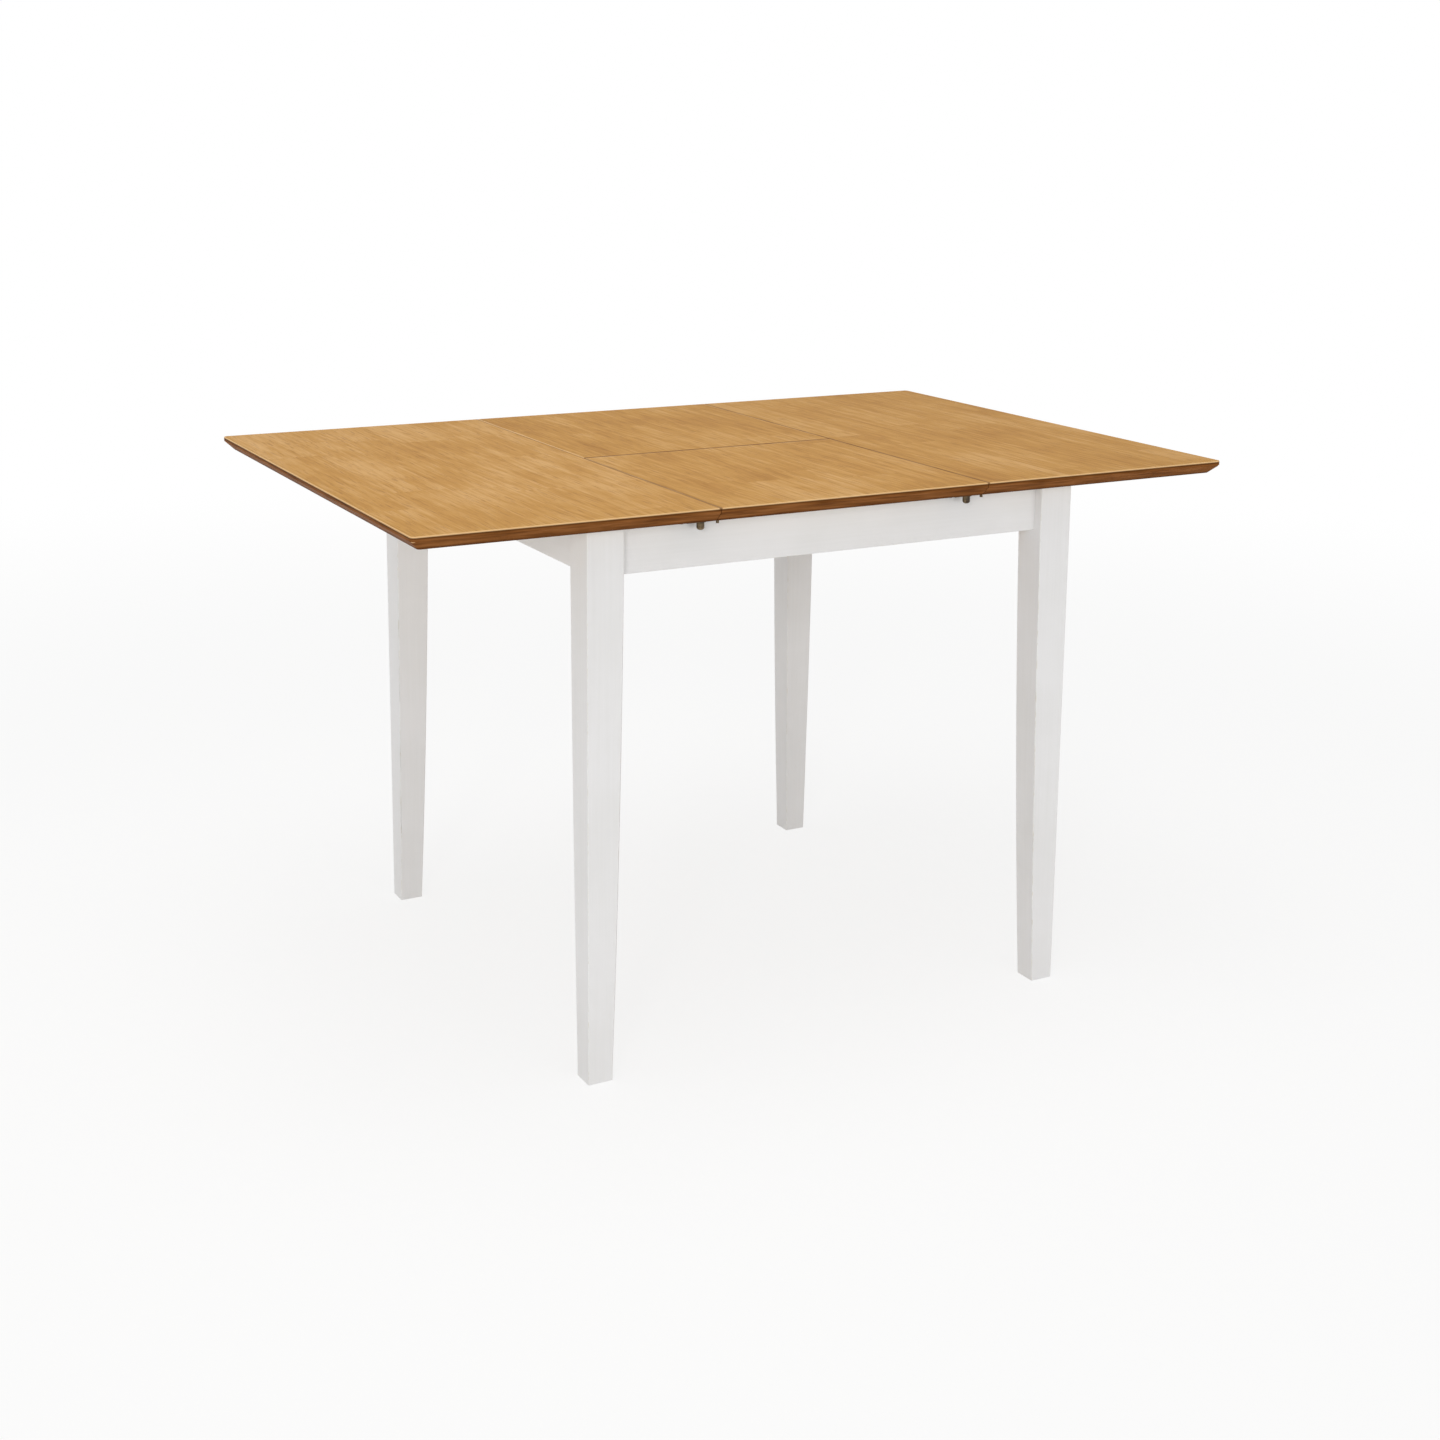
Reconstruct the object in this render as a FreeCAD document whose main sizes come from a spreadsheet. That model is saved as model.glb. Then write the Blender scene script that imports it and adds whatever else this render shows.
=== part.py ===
import FreeCAD, Part
import os
import re

import Sketcher
from FreeCAD import Placement, Rotation, Vector

# Butterfly leaf dining table, drawn out to its full length with the leaf laid in.
# X runs along the table, Y across it with the front at -Y, and Z up from the floor. Sizes are in millimetres.

doc = FreeCAD.newDocument("butterfly_leaf_table")

# Driving sizes
SIZES = {
    # the top: two halves with the two leaf panels between them
    "top_length": "1200",
    "top_width": "800",
    "top_height": "740",
    "top_thickness": "18",
    "leaf_length": "400",
    "seam_gap": "1",
    "seam_ease": "0.6",
    "edge_bevel": "12",
    "edge_round": "1",
    "corner_round": "6",
    # the legs and aprons
    "frame_length": "730",
    "frame_depth": "730",
    "top_gap": "2",
    "leg_top": "50",
    "leg_foot": "34",
    "leg_bow": "2",
    "leg_round": "1.5",
    "leg_flat": "8",
    "taper_drop": "10",
    "apron_height": "63",
    "apron_thickness": "20",
    "apron_setback": "15",
    "apron_round": "1.5",
    # stub tenons, the play around them and the overrun of cuts
    "tenon_length": "12",
    "tenon_thickness": "9",
    "tenon_margin": "9",
    "short_tenon": "8",
    "joint_clear": "0.1",
    "fit_clear": "0.05",
    "tip_clear": "0.5",
    "overrun": "5",
    # corner blocks with their bolts and screws
    "block_thickness": "22",
    "block_height": "23",
    "block_lift": "2",
    "block_gap": "0.5",
    "block_screw_place": "25",
    "block_screw_seat": "8",
    "bolt_radius": "4",
    "bolt_in_leg": "35",
    "bolt_tail": "5",
    "washer_radius": "9",
    "washer_thickness": "1.6",
    "nut_radius": "7.5",
    "nut_height": "6.5",
    # wood screws
    "screw_radius": "2",
    "screw_head_radius": "4",
    "screw_head_height": "3",
    "screw_bite": "12",
    "counterbore_radius": "4.5",
    "counterbore_depth": "12",
    # slide rails and runners
    "rail_inset": "54",
    "rail_width": "18",
    "rail_height": "16",
    "tongue_depth": "6",
    "tongue_height": "8",
    "runner_width": "20",
    "runner_length": "500",
    "runner_lead": "20",
    "runner_gap": "1",
    "runner_round": "2",
    "slide_clear": "0.3",
    "slide_travel": "40",
    "notch_clear": "2",
    "peg_radius": "4",
    "peg_drop": "8",
    "peg_seat": "10",
    "pad_radius": "7",
    "pad_thickness": "1.7",
    "pad_spread": "150",
    # swing arms, their axles, the bearers that hold them and the lugs under the leaf
    "arm_length": "100",
    "arm_width": "13",
    "arm_thickness": "5",
    "arm_rise": "4",
    "arm_gap": "4",
    "open_clear": "0.3",
    "axle_radius": "4",
    "axle_end": "3",
    "bearer_offset": "108",
    "bearer_width": "20",
    "bearer_foot": "10",
    "bearer_clear": "2.5",
    "bearer_gap": "10",
    "arch_length": "75",
    "trough_margin": "12",
    "lug_margin": "6",
    "lug_pitch": "120",
    "lug_thickness": "4",
    "lug_gap": "1",
    "lug_plate_length": "30",
    "lug_plate_width": "22",
    "lug_plate_thickness": "2.5",
    "lug_screw_spread": "10",
    "pin_drop": "9",
    "pin_radius": "3",
    "pin_head_radius": "5",
    "pin_head": "1.5",
    "pin_play": "0.3",
    # concealed hinge barrels and the gap between the folded panels
    "fold_gap": "0.6",
    "barrel_radius": "7",
    "barrel_depth": "24",
    "barrel_slot": "3",
    "barrel_slot_depth": "18",
    # turn latches with their keepers
    "stow_clear": "2",
    "latch_gap": "16",
    "latch_setback": "11",
    "latch_reach": "13",
    "latch_plate_length": "40",
    "latch_plate_width": "16",
    "latch_plate_edge": "1.5",
    "latch_screw_first": "6",
    "latch_screw_pitch": "12",
    "plate_thickness": "1.6",
    "stud_radius": "3",
    "stud_drop": "8",
    "lever_thickness": "2.4",
    "lever_width": "10",
    "lever_tip": "3",
    "lever_hub_radius": "7",
    "lever_clear": "0.3",
    "slot_clear": "0.7",
    "knob_radius": "5",
    "knob_round": "3.5",
    "knob_drop": "14.5",
    "keeper_length": "18",
    "keeper_width": "20",
    "keeper_screw_spread": "6",
    "keeper_pin_radius": "2",
    "keeper_pin_drop": "8",
    # countersunk screws of the small fittings
    "small_screw_radius": "1.5",
    "small_head_radius": "3.3",
    "small_screw_length": "12",
}

# Where the runner screws sit, as shares of the stretches before and after the stop peg
NEAR_SCREW_SHARES = (0.3,)
FAR_SCREW_SHARES = (0.45, 0.9)
# Where the hinge barrels sit along the leaf, as shares of its length from the middle
BARREL_SHARES = (-0.35, 0, 0.35)
# Heights of the block screws, as shares of the block's height
BLOCK_SCREW_SHARES = (0.25, 0.75)
# How close two coordinates are to count as the same, as a share of the top's thickness
SAME_SHARE = 0.0001

# Places that follow from the driving sizes
PLACES = {
    "underside": "top_height - top_thickness",
    "seam": "leaf_length / 2",
    "seam_half": "seam_gap / 2",
    "half_length": "(top_length - leaf_length - seam_gap) / 2",
    "panel_length": "leaf_length - seam_gap",
    "panel_width": "(top_width - seam_gap) / 2",
    "frame_top": "underside - top_gap",
    "apron_bottom": "frame_top - apron_height",
    "taper_height": "apron_bottom - taper_drop",
    "leg_chord": "sqrt((leg_top - leg_foot) ^ 2 + taper_height ^ 2)",
    "leg_arc_radius": "leg_chord ^ 2 / (8 * leg_bow) + leg_bow / 2",
    "leg_inner_x": "frame_length / 2 - leg_top",
    "leg_inner_y": "frame_depth / 2 - leg_top",
    "apron_face_x": "frame_length / 2 - apron_setback",
    "apron_face_y": "frame_depth / 2 - apron_setback",
    "apron_inner_x": "apron_face_x - apron_thickness",
    "apron_inner_y": "apron_face_y - apron_thickness",
    "apron_middle_x": "apron_face_x - apron_thickness / 2",
    "apron_middle_y": "apron_face_y - apron_thickness / 2",
    "inner_corner": "apron_setback + apron_thickness",
    "block_bottom": "apron_bottom + block_lift",
    "bolt_height": "block_bottom + block_height / 2",
    "block_well": "block_far * sqrt(2) - leg_top - block_screw_place - block_seat + counterbore_radius",
    "block_seat": "inner_corner + block_screw_seat",
    "flat_distance": "(2 * leg_top - leg_flat) / sqrt(2)",
    "block_distance": "flat_distance + block_gap",
    "block_far": "block_distance + block_thickness",
    "rail_bottom": "frame_top - rail_height",
    "rail_middle": "frame_top - rail_height / 2",
    "rail_offset": "apron_inner_y - rail_inset",
    "rail_outer": "rail_offset + rail_width / 2",
    "rail_inner": "rail_offset - rail_width / 2",
    "outer_track_near": "rail_outer + runner_gap",
    "outer_track_far": "outer_track_near + runner_width",
    "inner_track_far": "rail_inner - runner_gap",
    "inner_track_near": "inner_track_far - runner_width",
    "runner_end": "runner_lead + runner_length",
    "runner_height": "underside - rail_bottom",
    "half_edge": "seam + seam_half",
    "peg_place": "apron_inner_x - slide_travel - tip_clear - peg_radius",
    "stow_drop": "stow_clear + knob_drop + 2 * top_thickness + fold_gap",
    "pin_height": "underside - pin_drop",
    "axle_height": "pin_height - stow_drop - arm_rise",
    "arm_climb": "pin_height - axle_height",
    "arm_reach": "sqrt(arm_length ^ 2 - arm_climb ^ 2)",
    "stow_shift": "arm_reach + sqrt(arm_length ^ 2 - arm_rise ^ 2)",
    "lug_front": "inner_track_near - lug_margin - lug_plate_length / 2",
    "lug_rear": "lug_front - lug_pitch",
    "axle_front": "arm_reach - lug_front",
    "axle_rear": "arm_reach - lug_rear",
    "bearer_inner": "bearer_offset - bearer_width / 2",
    "bearer_outer": "bearer_offset + bearer_width / 2",
    "bearer_bottom": "axle_height - bearer_foot",
    "bearer_top": "rail_bottom - bearer_gap",
    "bearer_arch": "apron_inner_y - arch_length",
    "trough_floor": "underside - stow_drop - bearer_clear",
    "trough_front": "stow_shift - top_width / 2 - trough_margin",
    "trough_back": "stow_shift + trough_margin",
    "arm_outer": "bearer_inner - arm_gap",
    "arm_inner": "arm_outer - arm_thickness",
    "lug_outer": "arm_inner - lug_gap",
    "lug_inner": "lug_outer - lug_thickness",
    "latch_line": "apron_face_y + latch_gap",
    "latch_radius": "latch_setback + latch_reach",
    "lever_top": "underside - plate_thickness - lever_clear",
    "lever_bottom": "lever_top - lever_thickness",
    "knob_bottom": "underside - knob_drop",
}

ALONG_X = Rotation(Vector(0, 1, 0), 90)
AGAINST_X = Rotation(Vector(0, 1, 0), -90)
AGAINST_Y = Rotation(Vector(1, 0, 0), 90)
UPRIGHT = Rotation()
ALONG_DIAGONAL = Rotation(Vector(-1, 1, 0), 90)
HALF_TURN = Rotation(Vector(0, 0, 1), 180)

sheet = doc.addObject("Spreadsheet::Sheet", "Sizes")
for row, (alias, number) in enumerate(SIZES.items(), start=1):
    sheet.set(f"A{row}", alias)
    sheet.set(f"B{row}", number)
    sheet.setAlias(f"B{row}", alias)
doc.recompute()

nodes = []


def formula(text):
    """The text as a document formula, with each size and place looked up."""

    def look_up(match):
        word = match.group(0)
        if word in SIZES:
            return f"Sizes.{word}"
        if word in PLACES:
            return f"({formula(PLACES[word])})"
        return word

    return re.sub(r"[a-z][a-z_]*", look_up, text)


def number_of(text):
    """The value of a formula at the present sizes."""
    return float(sheet.evalExpression(formula(text)))


def bind(thing, **values):
    """Tie an object's properties to formulas."""
    for name, text in values.items():
        thing.setExpression(name, formula(text))


def put(thing, x="0", y="0", z="0", turn=UPRIGHT):
    """Place an object by formulas, turned by a fixed amount."""
    thing.Placement = Placement(Vector(), turn)
    for axis, text in zip("xyz", (x, y, z)):
        thing.setExpression(f"Placement.Base.{axis}", formula(text))
    return thing


def box(name, x, y, z, turn=UPRIGHT):
    """A block between two formulas along each axis, turned about its lowest corner."""
    block = doc.addObject("Part::Box", name)
    lows = [low for low, high in (x, y, z)]
    spans = [f"({high}) - ({low})" for low, high in (x, y, z)]
    bind(block, Length=spans[0], Width=spans[1], Height=spans[2])
    return put(block, *lows, turn)


def rod(name, radius, length, x="0", y="0", z="0", turn=UPRIGHT):
    """A round bar that starts at a place and runs the way it is turned."""
    bar = doc.addObject("Part::Cylinder", name)
    bind(bar, Radius=radius, Height=length)
    return put(bar, x, y, z, turn)


def cone(name, first_radius, last_radius, height):
    """A cone that rises from the origin."""
    taper = doc.addObject("Part::Cone", name)
    bind(taper, Radius1=first_radius, Radius2=last_radius, Height=height)
    return taper


def fused(name, pieces):
    """One solid made of several."""
    whole = doc.addObject("Part::MultiFuse", name)
    whole.Shapes = pieces
    whole.Refine = True
    return whole


def shared(name, first, second):
    """What two solids have in common."""
    overlap = doc.addObject("Part::Common", name)
    overlap.Base = first
    overlap.Tool = second
    return overlap


def group(name, pieces):
    """Several solids that stay separate."""
    together = doc.addObject("Part::Compound", name)
    together.Links = pieces
    return together


def copy_of(name, thing, x="0", y="0", z="0", turn=UPRIGHT):
    """The same piece once more, moved and turned."""
    return put(group(name, [thing]), x, y, z, turn)


def cut(name, whole, tools):
    """A solid with all the tools taken away from it."""
    rest = doc.addObject("Part::Cut", name)
    rest.Base = whole
    rest.Tool = group(f"{name}_tools", tools)
    return rest


def node(thing, label):
    """Keep an object as a sub-part under its own name."""
    thing.Label = label
    nodes.append(thing)


def same(a, b):
    """Whether two coordinates agree."""
    return abs(a - b) < SAME_SHARE * number_of("top_thickness")


def edges_where(shape, test):
    """Numbers, from 1, of the edges whose box passes a test."""
    return [n for n, edge in enumerate(shape.Edges, start=1) if test(edge.BoundBox)]


def rounded(name, solid, size, test):
    """A solid with the edges that pass a test rounded to a size of the sheet."""
    doc.recompute()
    eased = doc.addObject("Part::Fillet", name)
    eased.Base = solid
    radius = number_of(size)
    eased.Edges = [(n, radius, radius) for n in edges_where(solid.Shape, test)]
    return eased


def sketch_on(body, name, role):
    """An empty sketch on one of the body's own origin planes."""
    sketch = body.newObject("Sketcher::SketchObject", name)
    plane = next(f for f in body.Origin.OriginFeatures if f.Role == role)
    sketch.AttachmentSupport = [(plane, "")]
    sketch.MapMode = "FlatFace"
    return sketch


def measure(sketch, kind, places, text):
    """A dimension of a sketch, tied to a formula."""
    index = sketch.addConstraint(Sketcher.Constraint(kind, *places, number_of(text)))
    sketch.setExpression(f"Constraints[{index}]", formula(text))


def padded(body, sketch, length, backwards=False):
    """The sketch's outline drawn out into a solid."""
    pad = body.newObject("PartDesign::Pad", f"{sketch.Name}_pad")
    pad.Profile = sketch
    pad.Reversed = backwards
    bind(pad, Length=length)
    doc.recompute()
    return pad


# Wood screws and small countersunk screws, each pointing up from the face that its head meets


def wood_screw(name, length, x, y, z, turn=UPRIGHT):
    """A screw whose head hangs below the face it pulls on."""
    shank = rod(f"{name}_shank", "screw_radius", length)
    head = rod(f"{name}_head", "screw_head_radius", "screw_head_height", z="-screw_head_height")
    return put(fused(name, [shank, head]), x, y, z, turn)


def wood_screw_hole(name, length, depth, x, y, z, turn=UPRIGHT):
    """The hole for a wood screw, with a counterbore of some depth below the face."""
    shank = rod(f"{name}_shank", "screw_radius + fit_clear", f"{length} + tip_clear")
    well = rod(f"{name}_well", "counterbore_radius", f"{depth} + overrun", z=f"-{depth} - overrun")
    return put(group(name, [shank, well]), x, y, z, turn)


def small_screw(name, x, y, z):
    """A countersunk screw, its head level with the face."""
    shank = rod(f"{name}_shank", "small_screw_radius", "small_screw_length")
    head = cone(f"{name}_head", "small_head_radius", "small_screw_radius", "plate_thickness")
    return put(fused(name, [shank, head]), x, y, z)


def small_screw_hole(name, x, y, z):
    """The hole for a countersunk screw."""
    shank = rod(f"{name}_shank", "small_screw_radius + fit_clear", "small_screw_length + tip_clear")
    sink = cone(
        f"{name}_sink",
        "small_head_radius + fit_clear",
        "small_screw_radius + fit_clear",
        "plate_thickness",
    )
    return put(fused(name, [shank, sink]), x, y, z)


# Legs: square above, tapered below on the two inner faces along a very slight bow

CORNERS = {
    "front_left": ("-frame_length / 2", "-frame_depth / 2", 0),
    "front_right": ("frame_length / 2", "-frame_depth / 2", 90),
    "back_right": ("frame_length / 2", "frame_depth / 2", 180),
    "back_left": ("-frame_length / 2", "frame_depth / 2", 270),
}


def at_corner(thing, corner):
    """Move a piece drawn at a leg's outer corner, with the table towards +X and +Y, to one corner."""
    x, y, angle = CORNERS[corner]
    return put(thing, x, y, turn=Rotation(Vector(0, 0, 1), angle))


def leg_profile(name, role, backwards):
    """A leg seen from one side, drawn out to its full width."""
    body = doc.addObject("PartDesign::Body", name)
    sketch = sketch_on(body, f"{name}_outline", role)
    top, foot = number_of("leg_top"), number_of("leg_foot")
    high, bend, radius = number_of("frame_top"), number_of("taper_height"), number_of("leg_arc_radius")
    heel = Vector(foot, 0)
    knee = Vector(top, bend)
    chord = knee - heel
    inward = Vector(-chord.y, chord.x).normalize()
    middle = (heel + knee) / 2 + inward * (radius - number_of("leg_bow"))
    ends = [Vector(0, 0), Vector(0, high), Vector(top, high), knee]
    for start, finish in zip(ends, ends[1:]):
        sketch.addGeometry(Part.LineSegment(start, finish))
    circle = Part.Circle(middle, Vector(0, 0, 1), radius)
    sketch.addGeometry(Part.ArcOfCircle(circle, circle.parameter(heel), circle.parameter(knee)))
    sketch.addGeometry(Part.LineSegment(heel, Vector(0, 0)))
    for one, its_end, other, other_end in (
        (0, 2, 1, 1),
        (1, 2, 2, 1),
        (2, 2, 3, 2),
        (3, 1, 4, 1),
        (4, 2, 0, 1),
        (0, 1, -1, 1),
    ):
        sketch.addConstraint(Sketcher.Constraint("Coincident", one, its_end, other, other_end))
    for line, way in ((0, "Vertical"), (1, "Horizontal"), (2, "Vertical"), (4, "Horizontal")):
        sketch.addConstraint(Sketcher.Constraint(way, line))
    measure(sketch, "DistanceY", (0, 1, 0, 2), "frame_top")
    measure(sketch, "DistanceX", (1, 1, 1, 2), "leg_top")
    measure(sketch, "DistanceY", (-1, 1, 2, 2), "taper_height")
    measure(sketch, "DistanceX", (4, 2, 4, 1), "leg_foot")
    measure(sketch, "Radius", (3,), "leg_arc_radius")
    padded(body, sketch, "leg_top", backwards)
    return body


def mortise(name, x, y, z):
    """The hole for a tenon of these three spans, with play all round."""
    spans = [(f"{low} - joint_clear", f"{high} + joint_clear") for low, high in (x, y, z)]
    return box(name, *spans)


TENON_LEVELS = ("apron_bottom + tenon_margin", "frame_top - tenon_margin")
LEG_TENON_DEPTHS = ("leg_top - tenon_length - tip_clear", "leg_top + overrun")
LEG_TENON_ACROSS = (
    "apron_setback + (apron_thickness - tenon_thickness) / 2",
    "apron_setback + (apron_thickness + tenon_thickness) / 2",
)
TURN_EIGHTH = Rotation(Vector(0, 0, 1), 45)

leg_square = shared(
    "leg_square",
    leg_profile("leg_front_profile", "XZ_Plane", True),
    leg_profile("leg_side_profile", "YZ_Plane", False),
)
leg_blank = rounded("leg_blank", leg_square, "leg_round", lambda b: b.ZLength > b.XLength + b.YLength)
leg_seat = box(
    "leg_seat",
    ("leg_top - leg_flat / 2 + leg_flat / sqrt(2)", "leg_top + leg_flat / 2 + leg_flat / sqrt(2)"),
    ("leg_top - leg_flat / 2 - leg_flat / sqrt(2)", "leg_top + 3 * leg_flat / 2 - leg_flat / sqrt(2)"),
    ("apron_bottom", "frame_top + overrun"),
    TURN_EIGHTH,
)
leg_cuts = [
    mortise("leg_mortise_along", LEG_TENON_DEPTHS, LEG_TENON_ACROSS, TENON_LEVELS),
    mortise("leg_mortise_across", LEG_TENON_ACROSS, LEG_TENON_DEPTHS, TENON_LEVELS),
    leg_seat,
    rod(
        "leg_bolt_hole",
        "bolt_radius + fit_clear",
        "bolt_in_leg + tip_clear + overrun",
        "(flat_distance - bolt_in_leg - tip_clear) / sqrt(2)",
        "(flat_distance - bolt_in_leg - tip_clear) / sqrt(2)",
        "bolt_height",
        ALONG_DIAGONAL,
    ),
]
for corner in CORNERS:
    node(at_corner(cut(f"leg_{corner}", leg_blank, leg_cuts), corner), f"leg_{corner}")

# Corner blocks, each bolted to its leg and screwed to the two aprons beside it

block_bar = box(
    "block_bar",
    ("(block_distance + block_far) / sqrt(2)", "(block_distance + block_far) / sqrt(2) + block_thickness"),
    ("(block_distance - block_far) / sqrt(2)", "(block_distance - block_far) / sqrt(2) + 2 * block_far"),
    ("block_bottom", "block_bottom + block_height"),
    TURN_EIGHTH,
)
block_bounds = box(
    "block_bounds",
    ("inner_corner", "2 * block_far"),
    ("inner_corner", "2 * block_far"),
    ("block_bottom", "block_bottom + block_height"),
)
block_blank = shared("block_blank", block_bar, block_bounds)
BLOCK_SCREW_LENGTH = "(block_screw_seat + screw_bite)"
block_screws, block_holes = [], []
for share in BLOCK_SCREW_SHARES:
    level = f"block_bottom + {share} * block_height"
    along = "leg_top + block_screw_place"
    for way, spot in (
        ("along", (along, "block_seat", level, AGAINST_Y)),
        ("across", ("block_seat", along, level, AGAINST_X)),
    ):
        name = f"block_screw_{way}_{int(share * 100)}"
        block_screws.append(wood_screw(name, BLOCK_SCREW_LENGTH, *spot))
        block_holes.append(wood_screw_hole(f"{name}_hole", BLOCK_SCREW_LENGTH, "block_well", *spot))
block_bolt_hole = rod(
    "block_bolt_hole",
    "bolt_radius + fit_clear",
    "block_thickness + 2 * overrun",
    "(block_distance - overrun) / sqrt(2)",
    "(block_distance - overrun) / sqrt(2)",
    "bolt_height",
    ALONG_DIAGONAL,
)


def on_bolt(name, radius, length, start):
    """A round piece on the bolt's line, starting at a distance from the leg's outer corner."""
    spot = f"({start}) / sqrt(2)"
    return rod(name, radius, length, spot, spot, "bolt_height", ALONG_DIAGONAL)


bolt = on_bolt(
    "hanger_bolt",
    "bolt_radius",
    "bolt_in_leg + block_gap + block_thickness + washer_thickness + nut_height + bolt_tail",
    "flat_distance - bolt_in_leg",
)
washer_disc = on_bolt("washer_disc", "washer_radius", "washer_thickness", "block_far")
washer_hole = on_bolt("washer_hole", "bolt_radius + fit_clear", "washer_thickness", "block_far")
washer = cut("washer", washer_disc, [washer_hole])
nut_prism = doc.addObject("Part::Prism", "nut_prism")
nut_prism.Polygon = 6
bind(nut_prism, Circumradius="nut_radius", Height="nut_height")
NUT_PLACE = "(block_far + washer_thickness) / sqrt(2)"
put(nut_prism, NUT_PLACE, NUT_PLACE, "bolt_height", ALONG_DIAGONAL)
nut_hole = on_bolt("nut_hole", "bolt_radius + fit_clear", "nut_height", "block_far + washer_thickness")
nut = cut("nut", nut_prism, [nut_hole])

for corner in CORNERS:
    block = cut(f"corner_block_{corner}", block_blank, block_holes + [block_bolt_hole])
    node(at_corner(block, corner), f"corner_block_{corner}")
for label, pieces in (
    ("hanger_bolts", [bolt]),
    ("hanger_washers", [washer]),
    ("hanger_nuts", [nut]),
    ("block_screws", block_screws),
):
    sets = [at_corner(group(f"{label}_{corner}", pieces), corner) for corner in CORNERS]
    node(group(label, sets), label)

# Aprons: stub tenons into the legs, mortises for the bearers and rails, notches for the runners

block_hole_sets = [
    at_corner(group(f"pilot_holes_{corner}", block_holes), corner) for corner in CORNERS
]
LOW_TENON_LEVELS = ("apron_bottom + tenon_margin", "bearer_top - tenon_margin")
RAIL_TENON_LEVELS = ("rail_middle - tenon_thickness / 2", "rail_middle + tenon_thickness / 2")
BOTH_SIDES = (("left", "-"), ("right", ""))


def ends_of(span):
    """A span and its mirror image across the middle."""
    low, high = span
    return (("high", (low, high)), ("low", (f"-({high})", f"-({low})")))


def tenon_across(middle):
    """A tenon's thickness about the middle of its board."""
    return (f"{middle} - tenon_thickness / 2", f"{middle} + tenon_thickness / 2")


long_board = box(
    "long_board",
    ("-leg_inner_x", "leg_inner_x"),
    ("-apron_face_y", "-apron_inner_y"),
    ("apron_bottom", "frame_top"),
)
long_board_eased = rounded(
    "long_board_eased",
    long_board,
    "apron_round",
    lambda b: same(b.ZMax, number_of("apron_bottom")) and b.XLength > b.YLength,
)
long_tenons = [
    box(f"long_tenon_{end}", span, tenon_across("-apron_middle_y"), TENON_LEVELS)
    for end, span in ends_of(("leg_inner_x", "leg_inner_x + tenon_length"))
]
long_apron = fused("long_apron", [long_board_eased] + long_tenons)
bearer_mortises = [
    mortise(
        f"bearer_mortise_{side}",
        tenon_across(f"{sign}bearer_offset"),
        ("-apron_inner_y - short_tenon - tip_clear", "-apron_inner_y + overrun"),
        LOW_TENON_LEVELS,
    )
    for side, sign in BOTH_SIDES
]
for label, turn in (("apron_front", UPRIGHT), ("apron_back", HALF_TURN)):
    node(put(cut(label, long_apron, bearer_mortises + block_hole_sets), turn=turn), label)

side_board = box(
    "side_board",
    ("-apron_face_x", "-apron_inner_x"),
    ("-leg_inner_y", "leg_inner_y"),
    ("apron_bottom", "frame_top"),
)
side_board_eased = rounded(
    "side_board_eased",
    side_board,
    "apron_round",
    lambda b: same(b.ZMax, number_of("apron_bottom")) and b.YLength > b.XLength,
)
side_tenons = [
    box(f"side_tenon_{end}", tenon_across("-apron_middle_x"), span, TENON_LEVELS)
    for end, span in ends_of(("leg_inner_y", "leg_inner_y + tenon_length"))
]
side_apron = fused("side_apron", [side_board_eased] + side_tenons)
rail_mortises = [
    mortise(
        f"rail_mortise_{side}",
        ("-apron_inner_x - short_tenon - tip_clear", "-apron_inner_x + overrun"),
        tenon_across(f"{sign}rail_offset"),
        RAIL_TENON_LEVELS,
    )
    for side, sign in BOTH_SIDES
]
runner_notches = [
    box(
        f"runner_notch_{track}",
        ("-apron_face_x - overrun", "-apron_inner_x + overrun"),
        (f"{low} - notch_clear", f"{high} + notch_clear"),
        ("rail_bottom - notch_clear", "frame_top + overrun"),
    )
    for track, low, high in (
        ("outer", "-outer_track_far", "-outer_track_near"),
        ("inner", "inner_track_near", "inner_track_far"),
    )
]
for label, turn in (("apron_left", UPRIGHT), ("apron_right", HALF_TURN)):
    tools = rail_mortises + runner_notches + block_hole_sets
    node(put(cut(label, side_apron, tools), turn=turn), label)

pad_spots = [
    (f"{sign}pad_spread", f"{across}apron_middle_y") for side, sign in BOTH_SIDES for across in ("-", "")
] + [(f"{across}apron_middle_x", f"{sign}pad_spread") for side, sign in BOTH_SIDES for across in ("-", "")]
pads = [
    rod(f"glide_pad_{n}", "pad_radius", "pad_thickness", x, y, "frame_top")
    for n, (x, y) in enumerate(pad_spots, start=1)
]
node(group("glide_pads", pads), "glide_pads")

# Slide rails: a tongue on each side, one for each half's runner

rail_pieces = [
    box(
        "rail_bar",
        ("-apron_inner_x", "apron_inner_x"),
        ("-rail_outer", "-rail_inner"),
        ("rail_bottom", "frame_top"),
    ),
    box(
        "rail_tongues",
        ("-apron_inner_x", "apron_inner_x"),
        ("-rail_outer - tongue_depth", "-rail_inner + tongue_depth"),
        ("rail_middle - tongue_height / 2", "rail_middle + tongue_height / 2"),
    ),
] + [
    box(f"rail_tenon_{end}", span, tenon_across("-rail_offset"), RAIL_TENON_LEVELS)
    for end, span in ends_of(("apron_inner_x", "apron_inner_x + short_tenon"))
]
rail = fused("rail", rail_pieces)
for label, turn in (("slide_rail_front", UPRIGHT), ("slide_rail_back", HALF_TURN)):
    node(copy_of(label, rail, turn=turn), label)

# Bearers: boards between the front and back aprons, troughed for the stowed leaf and raised at the ends

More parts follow.
